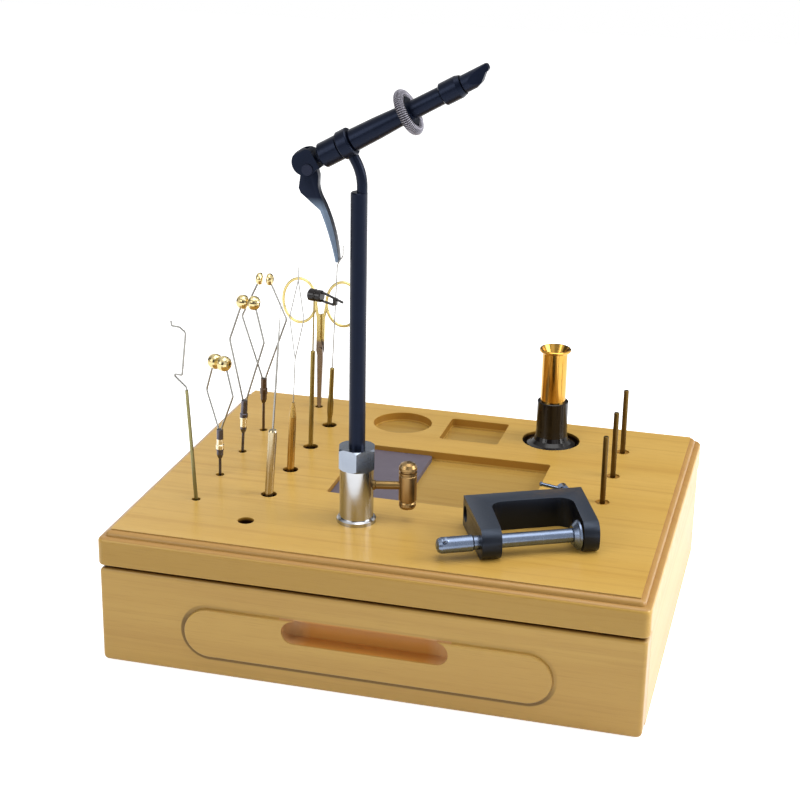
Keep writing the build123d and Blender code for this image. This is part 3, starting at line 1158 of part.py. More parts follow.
# ================================================================== all nodes
def main():
    os.makedirs("parts", exist_ok=True)
    save("top_slab", make_top_slab())
    save("side_panels", *make_side_panels())
    save("back_panel", make_back_panel())
    save("bottom_panel", make_bottom_panel())
    save("carcass_dowels", *make_dowels())
    save("magnetic_sheet", make_magnetic_sheet())
    save("spool_pegs", *make_spool_pegs())
    save("drawer_front", make_drawer_front())
    save("drawer_sides", *make_drawer_sides())
    save("drawer_back", make_drawer_back())
    save("drawer_bottom", make_drawer_bottom())
    save("drawer_runners", *make_drawer_runners())
    save("vise_post", make_vise_post())
    save("post_nut", make_post_nut())
    save("stem_collet", make_stem_collet())
    save("post_screw", make_post_screw())
    save("thumb_screw", make_thumb_screw())
    save("thumb_screw_handle", make_thumb_screw_handle())
    save("vise_stem", make_vise_stem())
    save("vise_barrel", make_vise_barrel())
    save("rear_collar", make_rear_collar())
    save("material_spring", make_material_spring())
    save("jaw_return_spring", make_return_spring())
    save("front_collar", make_front_collar())
    save("collet_jaws", make_collet_jaws())
    save("draw_rod", make_draw_rod())
    save("lever_pivot_pin", make_lever_pin())
    save("cam_lever", make_cam_lever())
    save("clamp_frame", make_clamp_frame())
    save("clamp_pad", make_clamp_pad())
    save("clamp_screw", make_clamp_screw())
    save("clamp_tommy_bar", make_clamp_bar())
    save("clamp_set_screw", make_set_screw())
    save("set_screw_bar", make_set_screw_bar())
    handle, wire = make_whip_finisher()
    save("whip_finisher_handle", handle)
    save("whip_finisher_wire", wire)
    for number, size in enumerate(BOBBINS, start=1):
        tube, arms, cups = make_bobbin(size)
        save(f"bobbin_{number}_tube", tube)
        save(f"bobbin_{number}_arms", *arms)
        save(f"bobbin_{number}_cups", *cups)
    handle, needle = make_bodkin()
    save("bodkin_handle", handle)
    save("bodkin_needle", needle)
    handle, wire = make_threader()
    save("threader_handle", handle)
    save("threader_wire", wire)
    handle, head, spring = make_hackle_pliers()
    save("hackle_pliers_handle", handle)
    save("hackle_pliers_head", head)
    save("hackle_pliers_spring", spring)
    handle, needle = make_half_hitch_tool()
    save("half_hitch_handle", handle)
    save("half_hitch_needle", needle)
    left, right, screw = make_scissors()
    save("scissor_half_left", left)
    save("scissor_half_right", right)
    save("scissor_screw", screw)
    save("stacker_cup", make_stacker_cup())
    save("stacker_tube", make_stacker_tube())


main()
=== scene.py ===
import math

import bmesh
import bpy
from mathutils import Matrix, Vector


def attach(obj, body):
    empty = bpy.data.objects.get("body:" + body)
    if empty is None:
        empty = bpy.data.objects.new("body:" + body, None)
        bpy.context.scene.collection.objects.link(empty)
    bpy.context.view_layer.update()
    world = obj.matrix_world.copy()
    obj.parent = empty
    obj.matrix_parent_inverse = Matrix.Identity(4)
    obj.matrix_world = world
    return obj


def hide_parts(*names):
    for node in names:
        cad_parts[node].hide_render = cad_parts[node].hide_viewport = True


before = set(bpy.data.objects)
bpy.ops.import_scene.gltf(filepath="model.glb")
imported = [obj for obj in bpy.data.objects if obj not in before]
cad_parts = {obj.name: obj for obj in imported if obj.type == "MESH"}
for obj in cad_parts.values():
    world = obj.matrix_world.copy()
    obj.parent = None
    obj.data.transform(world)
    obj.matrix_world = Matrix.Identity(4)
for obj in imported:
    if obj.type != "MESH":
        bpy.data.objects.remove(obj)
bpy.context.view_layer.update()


# ---------------------------------------------------------------- top slab
# A thick slab of pale yellow hardwood with a two-step router-cut edge, sanded and lacquered.
# The pockets and holes are cut from above, and their cut walls are painted orange-brown as shade.

def linear(code):
    """Linear RGBA of an sRGB hex colour."""
    parts = [int(code[i:i + 2], 16) / 255 for i in (1, 3, 5)]
    return [c / 12.92 if c <= 0.04045 else ((c + 0.055) / 1.055) ** 2.4 for c in parts] + [1.0]


def add(tree, kind, settings=None, **inputs):
    """Adds a node. Inputs are named with underscores for spaces, or _0, _1 for their number."""
    node = tree.nodes.new(kind)
    for name, value in (settings or {}).items():
        setattr(node, name, value)
    for name, value in inputs.items():
        socket = node.inputs[int(name[1:])] if name[1:].isdigit() else node.inputs[name.replace("_", " ")]
        if isinstance(value, bpy.types.NodeSocket):
            tree.links.new(value, socket)
        else:
            socket.default_value = value
    return node


def start_material(name):
    """(material, its node tree, its shader)."""
    material = bpy.data.materials.new(name)
    material.use_nodes = True
    tree = material.node_tree
    return material, tree, tree.nodes["Principled BSDF"]


def dress(material, *names):
    """Gives a material to the finished shapes of the model's own nodes."""
    for name in names:
        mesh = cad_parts[name].data
        mesh.materials.clear()
        mesh.materials.append(material)


def stained_zone(tree, place, low, high, reach):
    """0 to 1 factor of the band between two heights, inside or outside half sizes of a plan, in metres."""
    split = add(tree, "ShaderNodeSeparateXYZ", Vector=place)
    above = add(tree, "ShaderNodeMath", {"operation": "GREATER_THAN"}, _0=split.outputs["Z"], _1=low)
    below = add(tree, "ShaderNodeMath", {"operation": "LESS_THAN"}, _0=split.outputs["Z"], _1=high)
    band = add(tree, "ShaderNodeMath", {"operation": "MULTIPLY"}, _0=above.outputs[0], _1=below.outputs[0])
    far = [add(tree, "ShaderNodeMath", {"operation": "ABSOLUTE"}, _0=split.outputs[axis]) for axis in "XY"]
    out = [add(tree, "ShaderNodeMath", {"operation": "GREATER_THAN"}, _0=f.outputs[0], _1=r)
           for f, r in zip(far, reach)]
    edge = add(tree, "ShaderNodeMath", {"operation": "MAXIMUM"}, _0=out[0].outputs[0], _1=out[1].outputs[0])
    return band.outputs[0], edge.outputs[0]


def lacquered_wood(name, pale, honey, line, contrast=1.0, sheen=0.12, roughness=0.34, turned=0.0):
    """Close-grained hardwood with its grain along X, or turned about Z.

    Returns its material, node tree, shader, object coordinates and grain colour.
    """
    material, tree, shader = start_material(name)
    place = add(tree, "ShaderNodeTexCoord").outputs["Object"]
    board = add(tree, "ShaderNodeMapping", Vector=place, Rotation=(0.0, 0.0, turned)).outputs[0]
    # board tone: soft bands about 30 mm wide and 400 mm long
    wide = add(tree, "ShaderNodeMapping", Vector=board, Scale=(2.5, 32.0, 32.0))
    tone = add(tree, "ShaderNodeTexNoise", Vector=wide.outputs[0], Scale=1.0, Detail=3.0, Roughness=0.5)
    # growth rings: long lines 3 to 8 mm apart that wander slowly
    rings_place = add(tree, "ShaderNodeMapping", Vector=board, Scale=(1.2, 150.0, 150.0),
                      Rotation=(0.35, 0.0, 0.02))
    rings = add(tree, "ShaderNodeTexNoise", Vector=rings_place.outputs[0], Scale=1.0, Detail=4.0,
                Roughness=0.62, Distortion=0.6)
    # fibres and pores: streaks 0.5 mm wide and 15 mm long
    fine = add(tree, "ShaderNodeMapping", Vector=board, Scale=(60.0, 1900.0, 1900.0))
    fibres = add(tree, "ShaderNodeTexNoise", Vector=fine.outputs[0], Scale=1.0, Detail=2.0, Roughness=0.6)
    tone_ramp = add(tree, "ShaderNodeMapRange", Value=tone.outputs["Fac"], From_Min=0.3, From_Max=0.7)
    body = add(tree, "ShaderNodeMix", {"data_type": "RGBA"}, Factor=tone_ramp.outputs[0], A=linear(pale),
               B=linear(honey))
    ring_ramp = add(tree, "ShaderNodeMapRange", Value=rings.outputs["Fac"], From_Min=0.5, From_Max=0.72,
                    To_Max=0.5 * contrast)
    ringed = add(tree, "ShaderNodeMix", {"data_type": "RGBA"}, Factor=ring_ramp.outputs[0],
                 A=body.outputs["Result"], B=linear(line))
    fibre_ramp = add(tree, "ShaderNodeMapRange", Value=fibres.outputs["Fac"], From_Min=0.52, From_Max=0.75,
                     To_Max=0.42 * contrast)
    grained = add(tree, "ShaderNodeMix", {"data_type": "RGBA"}, Factor=fibre_ramp.outputs[0],
                  A=ringed.outputs["Result"], B=linear(line))
    dents = add(tree, "ShaderNodeBump", Strength=0.12, Distance=0.0002, Height=fibres.outputs["Fac"])
    tree.links.new(dents.outputs["Normal"], shader.inputs["Normal"])
    tree.links.new(grained.outputs["Result"], shader.inputs["Base Color"])
    gloss = add(tree, "ShaderNodeMapRange", Value=rings.outputs["Fac"], To_Min=roughness - 0.06,
                To_Max=roughness + 0.08)
    tree.links.new(gloss.outputs[0], shader.inputs["Roughness"])
    shader.inputs["IOR"].default_value = 1.5
    shader.inputs["Specular IOR Level"].default_value = 0.28
    shader.inputs["Coat Weight"].default_value = sheen
    shader.inputs["Coat Roughness"].default_value = 0.16
    return material, tree, shader, place, grained.outputs["Result"]


SLAB_TOP = 0.0805
MOULDING_FOOT = 0.0757          # height where the moulded edge starts
MOULDING_REACH = (0.1475, 0.1198)   # half sizes of the flat top inside the moulding
POCKET_WALL = 0.0047            # depth down to which a pocket's side counts as wall
TOOL_SIDE = -0.059              # every tool's hole lies left of this
STACKER_CENTRE, RECESS_RADIUS = (0.0627, 0.0881, SLAB_TOP), 0.0192
SKIN = 0.0004                   # everything lower than this counts as cut into the top
MOUTH_DARKENS, MOUTH_DARK = 0.0005, 0.0022      # depths in the tool holes and the recess
BORE_DARKENS, BORE_DARK = 0.0056, 0.007         # depths past the pockets' floors
slab_wood, tree, shader, place, grain = lacquered_wood(
    "lacquered pale hardwood", "#CCA657", "#C39A48", "#A87B34")
# the moulding is pinker than the top
band, edge = stained_zone(tree, place, MOULDING_FOOT, SLAB_TOP - 0.00005, MOULDING_REACH)
moulding = add(tree, "ShaderNodeMath", {"operation": "MULTIPLY"}, _0=band, _1=edge)
moulding_share = add(tree, "ShaderNodeMath", {"operation": "MULTIPLY"}, _0=moulding.outputs[0], _1=0.6)
with_edge = add(tree, "ShaderNodeMix", {"data_type": "RGBA"}, Factor=moulding_share.outputs[0], A=grain,
                B=linear("#9C7048"))
# the pockets' walls are painted orange-brown as shade in the recesses
split = add(tree, "ShaderNodeSeparateXYZ", Vector=place)
inner = add(tree, "ShaderNodeMath", {"operation": "SUBTRACT"}, _0=1.0, _1=edge)
sunk = add(tree, "ShaderNodeMath", {"operation": "LESS_THAN"}, _0=split.outputs["Z"], _1=SLAB_TOP - SKIN)
pocket = add(tree, "ShaderNodeMath", {"operation": "MULTIPLY"}, _0=sunk.outputs[0], _1=inner.outputs[0])
wall = add(tree, "ShaderNodeMath", {"operation": "GREATER_THAN"}, _0=split.outputs["Z"],
           _1=SLAB_TOP - POCKET_WALL)
wall_share = add(tree, "ShaderNodeMapRange", Value=wall.outputs[0], To_Max=0.8)
pocket_share = add(tree, "ShaderNodeMath", {"operation": "MULTIPLY"}, _0=pocket.outputs[0],
                   _1=wall_share.outputs[0])
with_pockets = add(tree, "ShaderNodeMix", {"data_type": "RGBA"}, Factor=pocket_share.outputs[0],
                   A=with_edge.outputs["Result"], B=linear("#98671C"))
# the bored holes, and the recess under the stacker's foot, are painted nearly black just below the surface:
# painted shade with some dark stain
deep = add(tree, "ShaderNodeMapRange", Value=split.outputs["Z"], From_Min=SLAB_TOP - BORE_DARKENS,
           From_Max=SLAB_TOP - BORE_DARK)
shallow = add(tree, "ShaderNodeMapRange", Value=split.outputs["Z"], From_Min=SLAB_TOP - MOUTH_DARKENS,
              From_Max=SLAB_TOP - MOUTH_DARK)
tool_side = add(tree, "ShaderNodeMath", {"operation": "LESS_THAN"}, _0=split.outputs["X"], _1=TOOL_SIDE)
from_stacker = add(tree, "ShaderNodeVectorMath", {"operation": "DISTANCE"}, _0=place, _1=STACKER_CENTRE)
in_recess = add(tree, "ShaderNodeMath", {"operation": "LESS_THAN"}, _0=from_stacker.outputs["Value"],
                _1=RECESS_RADIUS)
dark_place = add(tree, "ShaderNodeMath", {"operation": "MAXIMUM"}, _0=tool_side.outputs[0],
                 _1=in_recess.outputs[0])
dark_near = add(tree, "ShaderNodeMath", {"operation": "MULTIPLY"}, _0=dark_place.outputs[0],
                _1=shallow.outputs[0])
dark = add(tree, "ShaderNodeMath", {"operation": "MAXIMUM"}, _0=deep.outputs[0], _1=dark_near.outputs[0])
dark_in = add(tree, "ShaderNodeMath", {"operation": "MULTIPLY"}, _0=dark.outputs[0], _1=inner.outputs[0])
bored = add(tree, "ShaderNodeMix", {"data_type": "RGBA"}, Factor=dark_in.outputs[0],
            A=with_pockets.outputs["Result"], B=linear("#241207"))
# the slab's front edge, upright and in shade, is a duller brown
way = add(tree, "ShaderNodeSeparateXYZ", Vector=add(tree, "ShaderNodeTexCoord").outputs["Normal"])
front_face = add(tree, "ShaderNodeMapRange", Value=way.outputs["Y"], From_Min=-0.6, From_Max=-0.95,
                 To_Max=0.6)
face_only = add(tree, "ShaderNodeMath", {"operation": "MULTIPLY"}, _0=front_face.outputs[0], _1=edge)
fronted = add(tree, "ShaderNodeMix", {"data_type": "RGBA"}, Factor=face_only.outputs[0],
              A=bored.outputs["Result"], B=linear("#94722F"))
tree.links.new(fronted.outputs["Result"], shader.inputs["Base Color"])
dress(slab_wood, "top_slab")


# ---------------------------------------------------------------- carcass and drawer box
# Side, back and bottom panels of the same hardwood, butted and dowelled, with the drawer box
# and its runners left unstained inside. The grain of the side boards runs from front to back.

CARCASS_TONES = ("#CBA75A", "#C2994C", "#A57A38")
panel_wood = lacquered_wood("lacquered side panel wood", *CARCASS_TONES, contrast=0.8)[0]
dress(panel_wood, "back_panel", "bottom_panel", "carcass_dowels")
side_wood = lacquered_wood("lacquered side board wood, grain front to back", *CARCASS_TONES, contrast=0.8,
                           turned=math.pi / 2)[0]
dress(side_wood, "side_panels")
inner_wood = lacquered_wood("bare drawer box wood", "#DCC08A", "#D2B27A", "#B89460", contrast=0.8, sheen=0.0,
                            roughness=0.5)[0]
dress(inner_wood, "drawer_sides", "drawer_back", "drawer_bottom", "drawer_runners")


# ---------------------------------------------------------------- drawer front
# One board with a raised pill-shaped field and a finger slot scooped into its upper half.
# Its lacquer is a little browner than the top's, and the slot is painted orange inside, with painted light on
# its end walls.

FIELD_CENTRE_X, FIELD_CENTRE_Z = 0.001, 0.0272
FIELD_STRAIGHT, FIELD_RADIUS = 0.0895, 0.0145   # half length of its straight part, and its ends
FIELD_FACE, BOARD_FACE = -0.1272, -0.125
SLOT_HALF = 0.0485              # half length of the finger slot, a little over
SLOT_LOW, SLOT_HIGH = 0.0262, 0.0425
LOBE_FROM, LOBE_FULL = 0.033, 0.042     # distances from the middle of the slot's two end lobes
GAP_FROM, GAP_FULL = 0.0572, 0.0582     # heights of the board's edge under the slab
front_wood, tree, shader, place, grain = lacquered_wood(
    "lacquered drawer front wood", "#BE9A52", "#B28C48", "#98713A", contrast=0.6)
split = add(tree, "ShaderNodeSeparateXYZ", Vector=place)
# the finger slot, cut through the field's face, is painted orange inside, with painted light making its two
# end walls paler
from_middle = add(tree, "ShaderNodeMath", {"operation": "SUBTRACT"}, _0=split.outputs["X"], _1=FIELD_CENTRE_X)
side = add(tree, "ShaderNodeMath", {"operation": "ABSOLUTE"}, _0=from_middle.outputs[0])
within = add(tree, "ShaderNodeMath", {"operation": "LESS_THAN"}, _0=side.outputs[0], _1=SLOT_HALF)
low = add(tree, "ShaderNodeMath", {"operation": "GREATER_THAN"}, _0=split.outputs["Z"], _1=SLOT_LOW)
high = add(tree, "ShaderNodeMath", {"operation": "LESS_THAN"}, _0=split.outputs["Z"], _1=SLOT_HIGH)
in_z = add(tree, "ShaderNodeMath", {"operation": "MULTIPLY"}, _0=low.outputs[0], _1=high.outputs[0])
in_plan = add(tree, "ShaderNodeMath", {"operation": "MULTIPLY"}, _0=within.outputs[0], _1=in_z.outputs[0])
cut = add(tree, "ShaderNodeMapRange", Value=split.outputs["Y"], From_Min=FIELD_FACE + 0.0004,
          From_Max=FIELD_FACE + 0.0016)
scoop = add(tree, "ShaderNodeMath", {"operation": "MULTIPLY"}, _0=in_plan.outputs[0], _1=cut.outputs[0])
lobe = add(tree, "ShaderNodeMapRange", Value=side.outputs[0], From_Min=LOBE_FROM, From_Max=LOBE_FULL)
slot_tone_lit_ends = add(tree, "ShaderNodeMix", {"data_type": "RGBA"}, Factor=lobe.outputs[0], A=linear("#C0823A"),
            B=linear("#C79A68"))
scoop_share = add(tree, "ShaderNodeMath", {"operation": "MULTIPLY"}, _0=scoop.outputs[0], _1=0.9)
scooped = add(tree, "ShaderNodeMix", {"data_type": "RGBA"}, Factor=scoop_share.outputs[0], A=grain,
              B=slot_tone_lit_ends.outputs["Result"])
# the board round the field, to 2.7 mm out from it, gets a painted shadow below and at the left
past = add(tree, "ShaderNodeMath", {"operation": "SUBTRACT"}, _0=side.outputs[0], _1=FIELD_STRAIGHT)
past_end = add(tree, "ShaderNodeMath", {"operation": "MAXIMUM"}, _0=past.outputs[0], _1=0.0)
rise = add(tree, "ShaderNodeMath", {"operation": "SUBTRACT"}, _0=split.outputs["Z"], _1=FIELD_CENTRE_Z)
across = add(tree, "ShaderNodeCombineXYZ", X=past_end.outputs[0], Y=rise.outputs[0])
reach = add(tree, "ShaderNodeVectorMath", {"operation": "LENGTH"}, _0=across.outputs[0])
from_edge = add(tree, "ShaderNodeMath", {"operation": "SUBTRACT"}, _0=reach.outputs["Value"],
                _1=FIELD_RADIUS)
outer = add(tree, "ShaderNodeMapRange", Value=from_edge.outputs[0], From_Min=0.0027, From_Max=0.002)
inner = add(tree, "ShaderNodeMapRange", Value=from_edge.outputs[0], From_Min=-0.0006, From_Max=-0.0001)
ring = add(tree, "ShaderNodeMath", {"operation": "MULTIPLY"}, _0=outer.outputs[0], _1=inner.outputs[0])
lean = add(tree, "ShaderNodeMath", {"operation": "MULTIPLY_ADD"}, _0=from_middle.outputs[0], _1=0.1,
           _2=rise.outputs[0])
low_left = add(tree, "ShaderNodeMapRange", Value=lean.outputs[0], From_Min=-0.004, From_Max=0.009,
               To_Min=0.85, To_Max=0.12)
field_shadow = add(tree, "ShaderNodeMath", {"operation": "MULTIPLY"}, _0=ring.outputs[0], _1=low_left.outputs[0])
facing = add(tree, "ShaderNodeMath", {"operation": "LESS_THAN"}, _0=split.outputs["Y"], _1=BOARD_FACE + 0.0005)
field_shadow_in = add(tree, "ShaderNodeMath", {"operation": "MULTIPLY"}, _0=field_shadow.outputs[0], _1=facing.outputs[0])
field_shadowed = add(tree, "ShaderNodeMix", {"data_type": "RGBA"}, Factor=field_shadow_in.outputs[0],
              A=scooped.outputs["Result"], B=linear("#5E430F"))
# the board's top edge, in the gap under the slab, is painted dark as shade
edge_gap = add(tree, "ShaderNodeMapRange", Value=split.outputs["Z"], From_Min=GAP_FROM, From_Max=GAP_FULL)
gapped = add(tree, "ShaderNodeMix", {"data_type": "RGBA"}, Factor=edge_gap.outputs[0],
             A=field_shadowed.outputs["Result"], B=linear("#4A2E10"))
tree.links.new(gapped.outputs["Result"], shader.inputs["Base Color"])
dress(front_wood, "drawer_front")


# ---------------------------------------------------------------- magnetic sheet
# A flexible magnet cut from sheet and glued into the left end of the long pocket.
# Ferrite powder in rubber: dull, purple-grey, with a faint calendered tooth.

magnet_rubber, tree, shader = start_material("calendered magnet rubber")
place = add(tree, "ShaderNodeTexCoord").outputs["Object"]
mottle = add(tree, "ShaderNodeTexNoise", Vector=place, Scale=90.0, Detail=4.0)
tone = add(tree, "ShaderNodeMix", {"data_type": "RGBA"}, Factor=mottle.outputs["Fac"], A=linear("#645C66"),
           B=linear("#524B57"))
tooth = add(tree, "ShaderNodeTexNoise", Vector=place, Scale=2600.0, Detail=1.0)
relief = add(tree, "ShaderNodeBump", Strength=0.25, Distance=0.0001, Height=tooth.outputs["Fac"])
tree.links.new(tone.outputs["Result"], shader.inputs["Base Color"])
tree.links.new(relief.outputs["Normal"], shader.inputs["Normal"])
shader.inputs["Roughness"].default_value = 0.55
dress(magnet_rubber, "magnetic_sheet")


# ---------------------------------------------------------------- spool pegs
# Three lengths of drawn brass rod pressed into shallow counterbores. Drawing leaves fine
# lines along the rod, and handling has dulled it to a dark brown.

def drawn_metal(name, colour, shade, roughness, spacing=0.0004, along=0.03, bump=0.05):
    """Metal with fine lines along Z, their spacing and length in metres. Returns its material."""
    material, tree, shader = start_material(name)
    place = add(tree, "ShaderNodeTexCoord").outputs["Object"]
    lines_place = add(tree, "ShaderNodeMapping", Vector=place, Scale=(1 / spacing, 1 / spacing, 1 / along))
    lines = add(tree, "ShaderNodeTexNoise", Vector=lines_place.outputs[0], Scale=1.0, Detail=2.0)
    cloud = add(tree, "ShaderNodeTexNoise", Vector=place, Scale=120.0, Detail=3.0)
    tone = add(tree, "ShaderNodeMix", {"data_type": "RGBA"}, Factor=cloud.outputs["Fac"], A=linear(colour),
               B=linear(shade))
    tree.links.new(tone.outputs["Result"], shader.inputs["Base Color"])
    dull = add(tree, "ShaderNodeMapRange", Value=lines.outputs["Fac"], To_Min=roughness * 0.75,
               To_Max=roughness * 1.25)
    tree.links.new(dull.outputs[0], shader.inputs["Roughness"])
    relief = add(tree, "ShaderNodeBump", Strength=bump, Distance=0.0001, Height=lines.outputs["Fac"])
    tree.links.new(relief.outputs["Normal"], shader.inputs["Normal"])
    shader.inputs["Metallic"].default_value = 1.0
    return material


dress(drawn_metal("drawn brass rod, handled", "#6A5228", "#4F3F20", 0.36), "spool_pegs")


# ---------------------------------------------------------------- vise post and nut
# Turned steel with a satin nickel plate: a flanged post screwed down from under the slab, and
# a hexagon nut that closes the collet. Turning leaves fine rings round the post.

TURNED = dict(spacing=0.03, along=0.0003)   # rings 0.3 mm apart
dress(drawn_metal("satin nickel on turned steel", "#BDBEC0", "#A9ABAF", 0.2, **TURNED), "vise_post")
dress(drawn_metal("bright nickel on milled steel", "#9AA2AE", "#868E9C", 0.2), "post_nut")
dress(drawn_metal("zinc-plated steel", "#7B879C", "#616D83", 0.26), "clamp_screw", "clamp_tommy_bar",
      "clamp_pad", "clamp_set_screw", "set_screw_bar", "post_screw")
dress(drawn_metal("split brass collet", "#A88348", "#8F6F38", 0.35), "stem_collet")


# ---------------------------------------------------------------- vise stem, barrel and lever
# Steel rod and turned parts in baked blue-black enamel, smooth and semi-gloss. The lever's finger
# part has a painted pale reflection, and the thumb screw is bare turned brass.

def black_enamel(name, colour, shade, roughness, specular=0.3, tint="#9FB0DC"):
    """Smooth dark paint whose highlights are tinted.

    Returns its material, node tree, shader, object coordinates and colour.
    """
    material, tree, shader = start_material(name)
    place = add(tree, "ShaderNodeTexCoord").outputs["Object"]
    cloud = add(tree, "ShaderNodeTexNoise", Vector=place, Scale=160.0, Detail=3.0)
    tone = add(tree, "ShaderNodeMix", {"data_type": "RGBA"}, Factor=cloud.outputs["Fac"], A=linear(colour),
               B=linear(shade))
    tree.links.new(tone.outputs["Result"], shader.inputs["Base Color"])
    skin = add(tree, "ShaderNodeTexNoise", Vector=place, Scale=900.0, Detail=2.0)
    dull = add(tree, "ShaderNodeMapRange", Value=skin.outputs["Fac"], To_Min=roughness - 0.05,
               To_Max=roughness + 0.07)
    tree.links.new(dull.outputs[0], shader.inputs["Roughness"])
    relief = add(tree, "ShaderNodeBump", Strength=0.06, Distance=0.0001, Height=skin.outputs["Fac"])
    tree.links.new(relief.outputs["Normal"], shader.inputs["Normal"])
    shader.inputs["Specular IOR Level"].default_value = specular
    shader.inputs["Specular Tint"].default_value = linear(tint)
    return material, tree, shader, place, tone.outputs["Result"]


enamel = black_enamel("baked blue-black enamel", "#0D1322", "#090C16", 0.3)[0]
dress(enamel, "vise_stem", "vise_barrel", "rear_collar", "front_collar", "draw_rod")
dress(black_enamel("blackened jaw steel", "#101626", "#0A0D18", 0.38, specular=0.35)[0], "collet_jaws")
dress(black_enamel("worn enamel on the pin's head", "#2A2C3A", "#1E202C", 0.36)[0], "lever_pivot_pin")


def rounded_copy(node, name, material, width, body):
    """A copy of a model node with its sharp edges rounded, width in metres, in that node's place."""
    shape = bmesh.new()
    shape.from_mesh(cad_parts[node].data)
    bmesh.ops.remove_doubles(shape, verts=shape.verts, dist=1e-6)
    bmesh.ops.dissolve_limit(shape, angle_limit=math.radians(1.0), verts=shape.verts, edges=shape.edges)
    for face in shape.faces:
        face.smooth = True
    mesh = bpy.data.meshes.new(name)
    shape.to_mesh(mesh)
    shape.free()
    mesh.materials.append(material)
    piece = bpy.data.objects.new(name, mesh)
    bpy.context.scene.collection.objects.link(piece)
    rounding = piece.modifiers.new("rounded edges", "BEVEL")
    rounding.width, rounding.segments = width, 3
    rounding.limit_method, rounding.angle_limit = "ANGLE", math.radians(40)
    rounding.harden_normals = True
    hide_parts(node)
    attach(piece, body)


# the finger part of the lever has a painted reflection, light blue-grey, on its front and left
FINGER_FROM, FINGER_FULL = 0.2655, 0.2585       # heights on the lever
lightened, tree, shader, place, paint = black_enamel(
    "lever enamel, worn on the finger part", "#0D1322", "#090C16", 0.3)
split = add(tree, "ShaderNodeSeparateXYZ", Vector=place)
way = add(tree, "ShaderNodeSeparateXYZ", Vector=add(tree, "ShaderNodeTexCoord").outputs["Normal"])
finger = add(tree, "ShaderNodeMapRange", Value=split.outputs["Z"], From_Min=FINGER_FROM, From_Max=FINGER_FULL)
turned_left = add(tree, "ShaderNodeMapRange", Value=way.outputs["X"], From_Min=0.35, From_Max=0.0)
front_side = add(tree, "ShaderNodeMapRange", Value=way.outputs["Y"], From_Min=0.3, From_Max=-0.2)
reflecting_side = add(tree, "ShaderNodeMath", {"operation": "MULTIPLY"}, _0=turned_left.outputs[0],
                _1=front_side.outputs[0])
reflection_share = add(tree, "ShaderNodeMath", {"operation": "MULTIPLY"}, _0=reflecting_side.outputs[0],
                 _1=finger.outputs[0])
reflected_tone = add(tree, "ShaderNodeMix", {"data_type": "RGBA"}, Factor=reflection_share.outputs[0], A=paint,
                B=linear("#8496AC"))
tree.links.new(reflected_tone.outputs["Result"], shader.inputs["Base Color"])
rounded_copy("cam_lever", "cam_lever_rounded", lightened, 0.0009, "cam_lever")

dress(drawn_metal("turned brass shank, handled", "#8A6F45", "#6F5834", 0.34, **TURNED), "thumb_screw")
dress(drawn_metal("turned brass knob, handled", "#A2855A", "#84683F", 0.32, **TURNED), "thumb_screw_handle")
spring_wire = drawn_metal("bright spring wire", "#8E8C94", "#6E6C76", 0.3)
dress(spring_wire, "jaw_return_spring")


# ---------------------------------------------------------------- material spring
# A long close coil of spring wire bent round into a ring, its ends hooked together behind,
# and sprung into the barrel's groove to hold thread and feathers.

COIL_TURNS = 66
COIL_RING, COIL_RADIUS, COIL_WIRE = 0.01002, 0.00245, 0.00034   # radii of ring, turn and wire
COIL_STEPS = 14                 # points a turn
SPRING_ALONG = 0.038            # from the eye's centre, along the barrel
eye_centre = Vector((-0.0274, -0.0687, 0.2951))
barrel_way = Vector((0.8725, 0.0, 0.4886))
ring_centre = eye_centre + SPRING_ALONG * barrel_way
ring_up, ring_side = Vector((-0.4886, 0.0, 0.8725)), Vector((0.0, 1.0, 0.0))
coil_curve = bpy.data.curves.new("material_spring_coil", "CURVE")
coil_curve.dimensions = "3D"
coil_curve.bevel_depth, coil_curve.bevel_resolution = COIL_WIRE, 2
coil = coil_curve.splines.new("POLY")
coil.points.add(COIL_TURNS * COIL_STEPS - 1)
for i, point in enumerate(coil.points):
    round_ring = 2 * math.pi * i / len(coil.points)
    round_coil = 2 * math.pi * i / COIL_STEPS
    spoke = -math.cos(round_ring) * ring_up + math.sin(round_ring) * ring_side
    place = ring_centre + (COIL_RING + COIL_RADIUS * math.cos(round_coil)) * spoke
    point.co = (*(place + COIL_RADIUS * math.sin(round_coil) * barrel_way), 1.0)
coil.use_cyclic_u = True
pattern = bpy.data.objects.new("coil_pattern", coil_curve)
bpy.context.scene.collection.objects.link(pattern)
bpy.context.view_layer.update()
coil_mesh = bpy.data.meshes.new_from_object(pattern)
bpy.data.objects.remove(pattern)
bpy.data.curves.remove(coil_curve)
coil_mesh.shade_smooth()
coil_mesh.materials.clear()
coil_mesh.materials.append(spring_wire)
spring = bpy.data.objects.new("material_spring_coil", coil_mesh)
bpy.context.scene.collection.objects.link(spring)
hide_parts("material_spring")
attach(spring, "vise_head")


# ---------------------------------------------------------------- C-clamp
# A cast clamp in satin black powder coat with a fine orange-peel skin, and a painted blue-grey reflection
# on its upper face. It lies flat on the slab with its plated screw run up to the far arm.

powder, tree, shader, _, paint = black_enamel(
    "satin black powder coat", "#0B0C11", "#08080C", 0.34, specular=0.5, tint="#B4C4E0")
way = add(tree, "ShaderNodeSeparateXYZ", Vector=add(tree, "ShaderNodeTexCoord").outputs["Normal"])
# painted reflection: faces turned upward are mixed to blue-grey
upward = add(tree, "ShaderNodeMapRange", Value=way.outputs["Z"], From_Min=0.5, From_Max=0.95)
topped = add(tree, "ShaderNodeMix", {"data_type": "RGBA"}, Factor=upward.outputs[0], A=paint,
             B=linear("#2B313B"))
tree.links.new(topped.outputs["Result"], shader.inputs["Base Color"])
rounded_copy("clamp_frame", "clamp_frame_rounded", powder, 0.0013, "clamp_frame")


# ---------------------------------------------------------------- hand tools
# Turned brass handles with steel wires and needles, stood in their holes: a whip finisher,
# three bobbin holders, a bodkin, a threader, hackle pliers and a half hitch tool. The first two
# bobbin holders have a pale collar round the ferrule.

